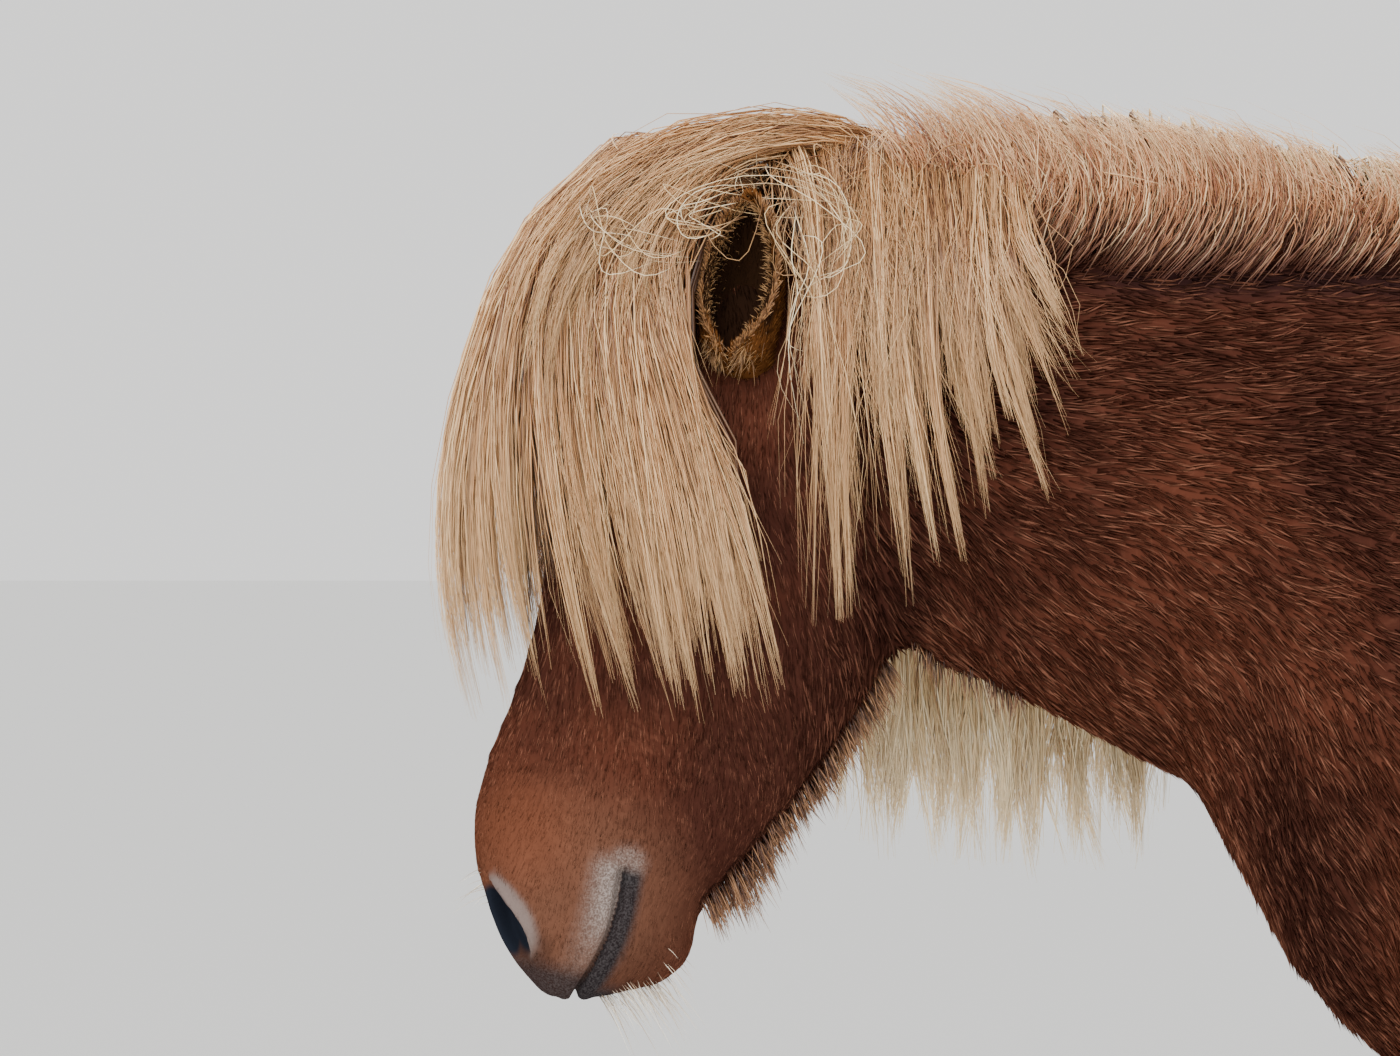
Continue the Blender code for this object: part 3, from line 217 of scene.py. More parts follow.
def loft(bm, rings):
    """Add a closed skin over rings of equally many points to a bmesh."""
    rows = [[bm.verts.new(point) for point in ring] for ring in rings]
    count = len(rings[0])
    faces = []
    for row, after in zip(rows, rows[1:]):
        for i in range(count):
            j = (i + 1) % count
            faces.append(bm.faces.new((row[i], row[j], after[j], after[i])))
    faces += [bm.faces.new(rows[0][::-1]), bm.faces.new(rows[-1])]
    bmesh.ops.recalc_face_normals(bm, faces=faces)


def section_ring(top, bottom, upper, middle, lower, count=RING_POINTS):
    """A ring from a top point round to a bottom point, with half widths at 18, 50 and 82 %."""
    ring = []
    for i in range(count):
        angle = 2 * math.pi * i / count
        down = (1 - math.cos(angle)) / 2
        fullness = np.interp(down, (0.18, 0.5, 0.82), (upper / 0.768, middle, lower / 0.768))
        point = Vector(top).lerp(Vector(bottom), down)
        ring.append(Vector((point.x, math.sin(angle) * float(fullness), point.z)))
    return ring


def object_from(name, bm):
    """A scene object that holds what a bmesh has."""
    mesh = bpy.data.meshes.new(name)
    bm.to_mesh(mesh)
    bm.free()
    obj = bpy.data.objects.new(name, mesh)
    bpy.context.scene.collection.objects.link(obj)
    return obj


print("rings of the head with those in between", len(through(HEAD, 3)))

# %% [markdown]
# ## The body's lofts
# A horse's neck and trunk are deep ovals that are fuller above than below, its head is a long wedge
# and its legs are nearly round. Each loft takes rings of its own kind, so that each keeps the look of
# its part, and runs a little way into its neighbour, so that the wrapping later finds no gap.

# %% Loft the body
forms = bmesh.new()
rows = [(s.top[0], s.top[1] * WITHERS, s.bottom[0], s.bottom[1] * WITHERS, *s[2:]) for s in TRUNK]
loft(
    forms,
    [
        section_ring((a, 0, b), (c, 0, d), *(max(0.01, BARREL * w) for w in widths))
        for a, b, c, d, *widths in through(rows, 3)
    ],
)
loft(
    forms,
    [
        section_ring(
            in_head(along, front), in_head(along, back), *(max(0.004, HEAD_LENGTH * w) for w in widths)
        )
        for along, front, back, *widths in through(HEAD, 3)
    ],
)
for rows, spread in ((FORELEG, FORE_SPREAD), (HINDLEG, HIND_SPREAD)):
    for side in (-1, 1):
        rings = []
        for height, centre, front, back, half in through(rows, 3):
            turns = [2 * math.pi * i / RING_POINTS for i in range(RING_POINTS)]
            rings.append(
                [
                    (
                        centre + (back if math.cos(a) > 0 else front) * math.cos(a),
                        side * spread + half * math.sin(a),
                        height,
                    )
                    for a in turns
                ]
            )
        loft(forms, rings)
line = through(DOCK, 3)
rings = []
for i, (x, z) in enumerate(line):
    ahead = line[min(i + 1, len(line) - 1)] - line[max(i - 1, 0)]
    level = Vector((-ahead[1], 0, ahead[0])).normalized()
    radius = float(np.interp(i / 3, range(len(DOCK_RADII)), DOCK_RADII))
    turns = [math.pi * k / 8 for k in range(16)]
    rings.append(
        [Vector((x, radius * math.sin(a), z)) + level * radius * math.cos(a) for a in turns]
    )
loft(forms, rings)
skin = object_from("skin", forms)
print("lofted faces", len(skin.data.polygons))

# %% [markdown]
# ## One skin
# The lofts only overlap. A voxel remesh wraps them in a single closed surface, and a smooth pass
# melts the joins, as skin does over muscle. The modifier is applied at once by reading the mesh that
# it makes.

# %% Wrap and smooth the forms


def applied(obj, kind, **settings):
    """Add one modifier and make its result the object's own mesh."""
    bpy.context.view_layer.objects.active = obj
    modifier = obj.modifiers.new(kind.title(), kind)
    for name, value in settings.items():
        setattr(modifier, name, value)
    bpy.ops.object.modifier_apply(modifier=modifier.name)
    return obj


applied(skin, "REMESH", mode="VOXEL", voxel_size=VOXEL)
applied(skin, "SMOOTH", factor=0.5, iterations=6)
print("skin faces", len(skin.data.polygons))

# %% [markdown]
# ## Muscles, bones and hollows
# Each swelling follows a short line and lifts or sinks the skin near it, along the skin's own
# normals. The same list works on both sides of the horse.

# %% Rows of swellings
Swelling = namedtuple("Swelling", "start end reach height")
HEAD_FORMS = {
    "eye socket": Swelling((0.335, 0.045, 0.155), (0.345, 0.030, 0.155), 0.027, 0.0090),
    "brow": Swelling((0.275, 0.050, 0.150), (0.305, 0.090, 0.125), 0.016, 0.0050),
    "temple hollow": Swelling((0.215, 0.040, 0.120), (0.235, 0.060, 0.120), 0.022, -0.0060),
    "cheek bone": Swelling((0.410, -0.015, 0.165), (0.610, 0.020, 0.110), 0.011, 0.0050),
    "cheek": Swelling((0.330, -0.140, 0.150), (0.440, -0.150, 0.140), 0.050, 0.0060),
    "nose hollow": Swelling((0.600, 0.075, 0.080), (0.740, 0.070, 0.070), 0.024, -0.0060),
    "jaw hollow": Swelling((0.590, -0.120, 0.110), (0.720, -0.090, 0.080), 0.024, -0.0060),
    "nostril": Swelling((0.880, 0.085, 0.085), (0.930, 0.070, 0.070), 0.020, 0.0075),
    "false nostril": Swelling((0.800, 0.100, 0.060), (0.850, 0.095, 0.070), 0.015, 0.0035),
    "upper lip": Swelling((0.920, -0.005, 0.080), (0.985, 0.010, 0.030), 0.013, 0.0045),
    "lower lip": Swelling((0.890, -0.065, 0.070), (0.965, -0.045, 0.030), 0.011, 0.0030),
    "lip corner": Swelling((0.838, -0.036, 0.095), (0.850, -0.036, 0.095), 0.011, -0.0040),
    "chin": Swelling((0.915, -0.125, 0.010), (0.940, -0.110, 0.010), 0.018, 0.0050),
}
BODY_FORMS = {
    "jugular groove": Swelling((-0.69, 0.07, 1.10), (-0.49, 0.10, 0.97), 0.030, -0.009),
    "neck muscle": Swelling((-0.66, 0.09, 1.22), (-0.36, 0.13, 1.16), 0.060, 0.008),
    "shoulder blade": Swelling((-0.17, 0.10, 1.30), (-0.41, 0.17, 1.02), 0.055, 0.010),
    "shoulder hollow": Swelling((-0.32, 0.13, 1.26), (-0.46, 0.15, 1.08), 0.035, -0.007),
    "upper arm": Swelling((-0.30, 0.18, 0.96), (-0.22, 0.19, 0.88), 0.075, 0.014),
    "elbow hollow": Swelling((-0.12, 0.20, 0.86), (-0.12, 0.18, 0.80), 0.050, -0.012),
    "breast": Swelling((-0.50, 0.08, 0.95), (-0.46, 0.08, 0.86), 0.050, 0.014),
    "breast groove": Swelling((-0.52, 0.0, 0.98), (-0.46, 0.0, 0.84), 0.022, -0.010),
    "flank hollow": Swelling((0.47, 0.24, 1.16), (0.53, 0.22, 0.98), 0.060, -0.012),
    "hip point": Swelling((0.47, 0.22, 1.24), (0.50, 0.23, 1.20), 0.040, 0.010),
    "stifle": Swelling((0.59, 0.18, 0.90), (0.61, 0.18, 0.84), 0.055, 0.014),
    "thigh groove": Swelling((0.84, 0.16, 1.12), (0.83, 0.14, 0.86), 0.028, -0.008),
    "croup groove": Swelling((0.62, 0.0, 1.36), (0.82, 0.0, 1.26), 0.025, -0.006),
    "knee face": Swelling((-0.32, 0.116, 0.43), (-0.32, 0.116, 0.40), 0.022, 0.004),
    "hock point": Swelling((0.915, 0.126, 0.555), (0.915, 0.126, 0.53), 0.018, 0.010),
    "hock groove": Swelling((0.89, 0.17, 0.60), (0.88, 0.16, 0.56), 0.016, -0.006),
    "tendon groove": Swelling((-0.262, 0.15, 0.33), (-0.262, 0.15, 0.22), 0.010, -0.003),
    "hind tendon groove": Swelling((0.886, 0.16, 0.40), (0.886, 0.16, 0.24), 0.010, -0.003),
}


def numbers_of(mesh):
    """The points and normals of a mesh as two arrays."""
    points = np.empty(len(mesh.vertices) * 3)
    normals = np.empty(len(mesh.vertices) * 3)
    mesh.vertices.foreach_get("co", points)
    mesh.vertex_normals.foreach_get("vector", normals)
    return points.reshape(-1, 3), normals.reshape(-1, 3)


def put_points(mesh, points):
    """Write an array of points back to a mesh."""
    mesh.vertices.foreach_set("co", points.ravel())
    mesh.update()


def near_line(points, start, end):
    """Distance of each point from a line, alike on both sides of the horse."""
    start = np.array(start)
    line = np.array(end) - start
    both = points * (1, 0, 1) + np.abs(points) * (0, 1, 0)
    share = np.clip((both - start) @ line / max(line @ line, 1e-12), 0, 1)
    return np.linalg.norm(both - start - share[:, None] * line, axis=1)


def swell(points, normals, form):
    """Raise or sink the skin along one line."""
    weight = np.exp(-((near_line(points, form.start, form.end) / form.reach) ** 2))
    points += normals * (form.height * weight)[:, None]


print("rows of swellings", len(HEAD_FORMS) + len(BODY_FORMS))

# %% [markdown]
# ## Raising the forms
# Brushes would sculpt these by hand, but each stroke would then be a guess. A weight that fades with
# the distance from a line moves the skin by a known height instead, and can be read and changed.

# %% Raise the forms
points, normals = numbers_of(skin.data)
for form in BODY_FORMS.values():
    swell(points, normals, form)
for form in HEAD_FORMS.values():
    swell(points, normals, form._replace(start=in_head(*form.start), end=in_head(*form.end)))
put_points(skin.data, points)
print("swellings", len(BODY_FORMS) + len(HEAD_FORMS))

# %% [markdown]
# ## Finer faces where the detail is
# Nostrils, lips and lids need faces about a millimetre across, the back does not. So the head is
# split once more, and the places round the nostrils, the mouth and the eyes twice more.

# %% Refine the head
EYE = in_head(0.340, 0.037, 0.134)
NOSTRIL = Vector((-0.9900, 0.0, 0.886))


def refine(obj, chosen):
    """Split each chosen face of an object into four."""
    bm = bmesh.new()
    bm.from_mesh(obj.data)
    edges = {edge for face in bm.faces if chosen(face.calc_center_median()) for edge in face.edges}
    bmesh.ops.subdivide_edges(bm, edges=list(edges), cuts=1, use_grid_fill=True)
    bm.to_mesh(obj.data)
    bm.free()


def beside(point, place, reach):
    """Whether a point is near a place on either side."""
    return (Vector((point.x, abs(point.y), point.z)) - place).length < reach


def head_share(point):
    """How far down the head and how far forward of its axis a point lies."""
    away = point - POLL
    return away.dot(HEAD_DOWN) / HEAD_LENGTH, away.dot(HEAD_FRONT) / HEAD_LENGTH


def by_details(point, room):
    """Whether a point is near a nostril, the lips or an eye."""
    along, front = head_share(point)
    lips = along > 0.80 and abs(front + 0.035) * HEAD_LENGTH < room * 0.6
    nose = beside(point, Vector((NOSTRIL.x, 0.030, NOSTRIL.z)), room * 1.45)
    return lips or beside(point, EYE, room * 1.5) or nose


refine(skin, lambda p: head_share(p)[0] > 0.10 and p.x < -0.77)
refine(skin, lambda p: by_details(p, 0.025))
applied(skin, "SMOOTH", factor=0.5, iterations=2)
refine(skin, lambda p: by_details(p, 0.018))
print("skin faces", len(skin.data.polygons))

# %% [markdown]
# ## Room for the coat
# The solids show the horse with its hair on. The skin lies inside them by the depth of the coat, which
# thins to almost nothing at the lips, so that hair and skin together keep the size.

# %% Sink the skin
points, normals = numbers_of(skin.data)
along = (points - np.array(POLL)) @ np.array(HEAD_DOWN) / HEAD_LENGTH
on_head = np.clip((-0.72 - points[:, 0]) / 0.08, 0, 1) * np.clip((along + 0.02) / 0.1, 0, 1)
on_feet = np.clip((0.45 - points[:, 2]) / 0.3, 0, 1)
muzzle = on_head * np.clip((along - 0.62) / 0.25, 0, 1)
depth = COAT_DEPTH * (1 - 0.45 * on_head - 0.4 * muzzle) * (1 - 0.5 * on_feet)
points -= normals * depth[:, None]
print("skin sunk by", round(1000 * depth.min(), 2), "to", round(1000 * depth.max(), 2), "mm")

# %% [markdown]
# ## Nostrils
# The opening of a nostril is a leaning comma with a soft raised rim. It could be cut out and given a
# tube behind, but skin rolls into it without an edge, so the faces are pushed in and out instead. A
# ray from the side finds where the nostril meets the skin.

# %% Open the nostrils


def oval(points, centre, long_way, long_half, short_half):
    """How far each point is from the middle of an oval, where 1 is its edge. Alike on both sides."""
    both = points * (1, 0, 1) + np.abs(points) * (0, 1, 0) - np.array(centre)
    long_way = np.array(long_way) / np.linalg.norm(long_way)
    short_way = np.array((-long_way[2], 0, long_way[0]))
    return np.hypot(both @ long_way / long_half, both @ short_way / short_half)


side_way = np.where(points[:, 1] < 0, -1.0, 1.0)
skin.data.calc_loop_triangles()
face_tree = BVHTree.FromPolygons(
    [tuple(p) for p in points], [tuple(t.vertices) for t in skin.data.loop_triangles]
)
wing, _, _, _ = face_tree.ray_cast(Vector((NOSTRIL.x, 0.2, NOSTRIL.z)), Vector((0, -1, 0)))
NOSTRIL.y = wing.y
print("nostril", tuple(round(v, 4) for v in NOSTRIL))
NOSTRIL_OUT = np.array(Vector((-0.62, 0.78, -0.05)).normalized())
NOSTRIL_LONG = np.array(Vector((0.30, 0.20, -0.93)).normalized())
NOSTRIL_LONG -= NOSTRIL_OUT * (NOSTRIL_LONG @ NOSTRIL_OUT)
NOSTRIL_WIDE = np.cross(NOSTRIL_OUT, NOSTRIL_LONG)
NOSTRIL_HALF = (0.0270, 0.0130)


def in_nostril(points):
    """Places of points along, across and out of a nostril, alike on both sides."""
    both = points * (1, 0, 1) + np.abs(points) * (0, 1, 0) - np.array(NOSTRIL)
    return both @ NOSTRIL_LONG, both @ NOSTRIL_WIDE, both @ NOSTRIL_OUT


def nostril_size(points):
    """How far points are from the middle of a nostril, where 1 is its edge."""
    long, wide, out = in_nostril(points)
    half = NOSTRIL_HALF[1] * (1 - 9 * np.clip(-long, -0.01, 0.03)) * (1 + 0.45 * np.clip(wide / 0.006, 0, 1))
    size = np.hypot(long / NOSTRIL_HALF[0], wide / half)
    return np.where((out > -0.05) & (out < 0.03), size, 9)


def nostril_from_side(points):
    """The same for the opening as it looks from the side, down to the bottom of the hollow."""
    return oval(points, (-0.9905, 0.0, 0.884), (0.375, 0, -0.927), 0.0275, 0.0100)


size = nostril_size(points)
inside = 1 / (1 + np.exp((size - 0.95) / 0.09))
rim_edge = np.exp(-(((size - 1.22) / 0.28) ** 2)) * np.clip(0.4 - in_nostril(points)[1] / 0.012, 0.2, 1)
sides = np.stack([np.ones(len(points)), side_way, np.ones(len(points))], axis=1)
points -= NOSTRIL_OUT * sides * (inside * 0.019)[:, None] - normals * (rim_edge * 0.0034)[:, None]
print("nostril points", int((size < 1).sum()))

# %% [markdown]
# ## Lips
# The lips meet in a narrow groove that bows from the corner of the mouth to its front, with a soft
# roll on either side. Three short creases run down between the nostril and the mouth. Each is a line
# on the skin, and points near it sink by how near they are.

# %% Part the lips
MOUTH_START = 0.832
MOUTH_LENGTH = 0.15


def lip_places(points):
    """How far behind the mouth's line each point is, if the line has begun, and how far down it is."""
    away = points - np.array(POLL)
    along = away @ np.array(HEAD_DOWN) / HEAD_LENGTH
    front = away @ np.array(HEAD_FRONT) / HEAD_LENGTH
    bow = np.sin(np.clip((along - MOUTH_START) / MOUTH_LENGTH, 0, 1) * math.pi)
    line = -0.037 + 0.11 * (along - MOUTH_START) - 0.010 * bow
    return (line - front) * HEAD_LENGTH, np.clip((along - 0.822) / 0.012, 0, 1), along


behind, lip_start, along = lip_places(points)
lip_gap = np.abs(behind)
slot = 0.0017 + 0.0014 * np.clip((0.90 - along) / 0.07, 0, 1)
groove = np.exp(-((lip_gap / slot) ** 2)) * lip_start
roll = np.exp(-(((lip_gap - 0.0065) / 0.0040) ** 2)) * lip_start
points -= normals * (groove * 0.0062 - roll * 0.0014)[:, None]

# Each crease: its two ends and its depth
CREASES = (
    ((-0.9265, 0, 0.966), (-0.9290, 0, 0.942), 0.0022),
    ((-0.9300, 0, 0.936), (-0.9420, 0, 0.915), 0.0014),
    ((-0.9560, 0, 0.905), (-0.9590, 0, 0.886), 0.0010),
)
for start, end, deep in CREASES:
    fold = np.exp(-((near_line(points * (1, 0, 1), start, end) / 0.0038) ** 2))
    points -= normals * (fold * deep * (np.abs(points[:, 1]) > 0.02))[:, None]
print("mouth points", int((groove > 0.5).sum()))

# %% [markdown]
# ## Lids
# The lids are rims round a leaning almond, with fine folds round them. The skin inside the almond is
# pushed behind the eyeball, which then sits in a real socket and not on the face.

# %% Open the lids
LID_HALF = (0.0185, 0.0108)


def hole(points, normals, size, depth, soft, rim, rim_width):
    """Push the skin in where size is under 1, with a raised rim round the edge."""
    inside = 1 / (1 + np.exp((size - 1) / soft))
    edge = np.exp(-(((size - 1.12) / rim_width) ** 2))
    points -= normals * (inside * depth - edge * rim)[:, None]


lid_way = np.array(HEAD_DOWN * 0.86 + HEAD_FRONT * 0.51)
eye_size = oval(points, EYE, lid_way, *LID_HALF)
eye_size = np.where(np.abs(points[:, 1]) > 0.05, eye_size, 9)
hole(points, normals, eye_size, 0.016, 0.05, 0.0016, 0.22)
for fold, lift in ((1.55, -0.0012), (1.85, 0.0010), (2.25, -0.0008)):
    band = np.exp(-(((eye_size - fold) / 0.10) ** 2))
    points += normals * (band * lift)[:, None]
put_points(skin.data, points)
for polygon in skin.data.polygons:
    polygon.use_smooth = True
print("lid points", int((eye_size < 1).sum()))

# %% [markdown]
# ## Ears
# An ear is a cup: a thin wall of gristle that closes into a tube at the root and opens to the side
# above it. Each ring is an arc that runs out along the outer face, round the rim and back along the
# inner face. The finished ears join the skin, so that coat and markings run on over them.

# %% Loft the ears
EAR_LEAN = 0.010
EAR_SINK = 0.09
ARC_POINTS = 24
# Each row: share of the height, reach, half the angle that the wall covers, thickness of the wall
EAR = [
    (-0.30, 0.0140, 176, 0.0060),
    (-0.12, 0.0210, 176, 0.0054),
    (0.04, 0.0235, 175, 0.0046),
    (0.14, 0.0256, 168, 0.0043),
    (0.22, 0.0270, 150, 0.0041),
    (0.34, 0.0278, 128, 0.0038),
    (0.50, 0.0272, 112, 0.0034),
    (0.66, 0.0240, 102, 0.0031),
    (0.80, 0.0186, 95, 0.0028),
    (0.91, 0.0118, 91, 0.0026),
    (0.98, 0.0056, 88, 0.0022),
    (1.005, 0.0020, 86, 0.0012),
]


def ear_frame(side):
    """Root, direction and opening of one ear."""
    root = in_head(0.205, -0.016, 0.150)
    root.y *= side
    up = Vector((0.05, 0.30 * side, 0.95)).normalized()
    opening = Vector((-0.30, 0.95 * side, 0.0))
    opening = (opening - opening.dot(up) * up).normalized()
    return root, up, opening


def ear_inward(share):
    """How far an ear's middle lies inward of its axis: it leans, and its foot is sunk in the head."""
    return EAR_LEAN * share + EAR_SINK * np.maximum(0, 0.10 - share)


def ear_rings(side):
    """Rings of one ear's wall, from the root to the tip."""
    root, up, opening = ear_frame(side)
    across = up.cross(opening)
    rings = []
    for share, reach, close, wall in through(EAR, 4):
        share, reach, wall = float(share), float(reach), float(wall)
        middle = root + up * EAR_LENGTH * share - opening * ear_inward(share)
        half = math.radians(float(close))
        arc = [math.pi - half + 2 * half * k / (ARC_POINTS - 1) for k in range(ARC_POINTS)]
        ring = []
        for radius, angles in ((reach, arc), (reach - wall, arc[::-1])):
            for angle in angles:
                curl = 1 - 0.16 * abs(math.cos(angle / 2)) ** 3
                point = opening * radius * math.cos(angle) + across * radius * curl * math.sin(angle)
                ring.append(middle + point)
        rings.append(ring)
    return rings


body_points = len(skin.data.vertices)
ears = bmesh.new()
for side in (-1, 1):
    loft(ears, ear_rings(side))
ears = object_from("ears", ears)
for polygon in ears.data.polygons:
    polygon.use_smooth = True
bpy.ops.object.select_all(action="DESELECT")
ears.select_set(True)
skin.select_set(True)
bpy.context.view_layer.objects.active = skin
bpy.ops.object.join()
print("ear points", len(skin.data.vertices) - body_points)

# %% [markdown]
# ## A finder for the skin, and an unwrap
# Hair has to know where the skin is. A tree of the skin's triangles answers that quickly. Smart
# project unwraps the skin, and every tuft later takes the place of its root on that unwrap.

# %% Skin tree and unwrap
bpy.ops.object.mode_set(mode="EDIT")
bpy.ops.mesh.select_all(action="SELECT")
bpy.ops.uv.smart_project(angle_limit=math.radians(66), island_margin=0.002)
bpy.ops.object.mode_set(mode="OBJECT")
skin.data.uv_layers[0].name = "OFBake"


def whole_numbers(items, name, count):
    """Three whole numbers from each triangle of a mesh."""
    values = np.empty(count * 3, np.int32)
    items.foreach_get(name, values)
    return values.reshape(-1, 3)


skin.data.calc_loop_triangles()
tri_verts = whole_numbers(skin.data.loop_triangles, "vertices", len(skin.data.loop_triangles))
tri_loops = whole_numbers(skin.data.loop_triangles, "loops", len(skin.data.loop_triangles))
loop_uvs = np.empty(len(skin.data.loops) * 2, np.float32)
skin.data.uv_layers[0].uv.foreach_get("vector", loop_uvs)
loop_uvs = loop_uvs.reshape(-1, 2)
skin_points, skin_normals = numbers_of(skin.data)
skin_is_ear = np.arange(len(skin_points)) >= body_points
tree = BVHTree.FromPolygons([tuple(p) for p in skin_points], [tuple(t) for t in tri_verts.tolist()])
on_ear = skin_is_ear[tri_verts].all(axis=1)
body_tree = BVHTree.FromPolygons(
    [tuple(p) for p in skin_points], [tuple(t) for t in tri_verts[~on_ear].tolist()]
)
print("skin triangles", len(tri_verts))

# %% [markdown]
# ## The lie of the coat
# Hair on the face runs down to the muzzle, on the neck back to the shoulder, on the trunk back and
# down, on the legs straight down. A few leading directions are given, and every other place blends
# those nearest to it and lays the result flat on the skin.

# %% Directions of the coat
LIE = [
    ((-0.93, 0.00, 1.28), (-0.30, 0.0, -0.95)),
    ((-0.97, 0.00, 1.10), (-0.26, 0.0, -0.97)),
    ((-0.86, 0.08, 1.20), (-0.15, 0.0, -1.0)),
    ((-0.84, 0.08, 1.08), (0.10, 0.0, -1.0)),
    ((-0.79, 0.08, 1.14), (0.35, 0.0, -0.9)),
    ((-0.80, 0.06, 1.02), (0.25, 0.0, -0.95)),
    ((-0.88, 0.05, 0.98), (-0.05, 0.0, -1.0)),
    ((-0.96, 0.04, 0.95), (-0.30, 0.0, -0.95)),
    ((-0.90, 0.04, 0.88), (-0.15, 0.0, -0.95)),
    ((-0.72, 0.07, 1.28), (0.80, 0.0, -0.55)),
    ((-0.72, 0.07, 1.12), (0.60, 0.0, -0.80)),
    ((-0.70, 0.05, 1.05), (0.55, 0.0, -0.80)),
    ((-0.62, 0.08, 1.27), (1.0, 0.0, -0.06)),
    ((-0.60, 0.09, 1.18), (0.97, 0.0, -0.22)),
    ((-0.58, 0.09, 1.08), (0.85, 0.0, -0.50)),
    ((-0.45, 0.10, 1.27), (1.0, 0.0, -0.08)),
    ((-0.42, 0.14, 1.14), (0.92, 0.0, -0.40)),
    ((-0.46, 0.12, 1.00), (0.70, 0.0, -0.75)),
    ((-0.50, 0.04, 0.95), (0.35, 0.25, -0.90)),
    ((-0.25, 0.19, 1.10), (0.80, 0.0, -0.60)),
    ((-0.20, 0.20, 0.90), (0.60, 0.0, -0.80)),
    ((0.10, 0.22, 1.20), (0.95, 0.0, -0.30)),
    ((0.15, 0.25, 0.95), (0.90, 0.0, -0.40)),
    ((0.10, 0.05, 0.72), (0.90, 0.0, 0.10)),
    ((0.45, 0.24, 1.10), (0.80, 0.0, -0.55)),
    ((0.65, 0.20, 1.20), (0.75, 0.0, -0.65)),
    ((0.75, 0.20, 0.95), (0.35, 0.0, -0.95)),
    ((0.60, 0.18, 0.80), (0.25, 0.0, -0.95)),
    ((0.80, 0.14, 0.70), (0.30, 0.0, -0.95)),
    ((0.87, 0.13, 0.40), (0.00, 0.0, -1.0)),
    ((-0.28, 0.12, 0.65), (0.05, 0.0, -1.0)),
    ((-0.275, 0.12, 0.35), (0.00, 0.0, -1.0)),
    ((-0.30, 0.12, 0.10), (-0.20, 0.0, -1.0)),
    ((0.84, 0.13, 0.10), (-0.20, 0.0, -1.0)),
    ((0.95, 0.00, 1.10), (0.20, 0.0, -1.0)),
]


def lie_at(points, normals, is_ear):
    """The unit direction in which hair lies at each point of the skin."""
    both = points * (1, 0, 1) + np.abs(points) * (0, 1, 0)
    total = np.zeros_like(points)
    for place, way in LIE:
        distance = np.linalg.norm(both - np.array(place), axis=1)
        total += (np.array(way) / np.linalg.norm(way))[None, :] / (distance[:, None] + 0.02) ** 4
    total[:, 1] *= np.sign(points[:, 1])
    # Along the foot of the crest the coat turns up, and on the ears it runs to their tips
    swirl = np.clip((points[:, 2] - 1.318) / 0.02, 0, 1) * np.clip((points[:, 0] + 0.68) / 0.04, 0, 1)
    swirl *= np.clip((-0.15 - points[:, 0]) / 0.1, 0, 1)
    unit = total / np.maximum(np.linalg.norm(total, axis=1), 1e-9)[:, None]
    total = unit * (1 - swirl)[:, None] + np.array((0.25, 0.0, 1.0)) * swirl[:, None]
    for side in (-1, 1):
        up = np.array(ear_frame(side)[1])
        total = np.where((is_ear & (points[:, 1] * side > 0))[:, None], up[None], total)
    total -= normals * (total * normals).sum(axis=1)[:, None]
    return total / np.maximum(np.linalg.norm(total, axis=1), 1e-9)[:, None]


print("leading directions", len(LIE))

# %% [markdown]
# ## Markings
# The muzzle is redder than the rest, the lips and the skin round the corner of the mouth are slate
# and silver, and the nostril has a pale rim. Three masks are painted shade: the dark hollow of the
# nostril, a shadow behind it and a band along the foot of the crest. Each marking is a mask of a
# point's place alone, so the skin and the tufts that grow from it agree.

# %% Masks of the markings


def soft(values, low, high):
    """0 below low, 1 above high, smooth between."""
    share = np.clip((values - low) / (high - low), 0, 1)
    return share * share * (3 - 2 * share)


def inner_ear(points, is_ear):
    """1 on the inside of an ear's cup, and 0 elsewhere."""
    found = np.zeros(len(points))
    shares, reaches, _, walls = np.array(EAR).T
    for side in (-1, 1):
        root, up, opening = (np.array(v) for v in ear_frame(side))
        share = (points - root) @ up / EAR_LENGTH
        middle = root + up * (EAR_LENGTH * share)[:, None] - opening * ear_inward(share)[:, None]
        inward = np.interp(share, shares, reaches) - 0.5 * np.interp(share, shares, walls)
        near = np.linalg.norm(points - middle, axis=1) < inward
        inside = near & (is_ear | (share < 0.55)) & (points[:, 1] * side > 0) & (share < 0.93)
        found = np.maximum(found, inside & (is_ear | (share > -0.06)))
    return found


# Middles of the russet on the nose, the lighter brown of the muzzle and the painted shadow by the nostril
RUST = (-0.980, 0.0, 0.945)
TAN = (-0.942, 0.0, 0.898)
NOSTRIL_SHADOW = (-0.967, 0.0, 0.866)


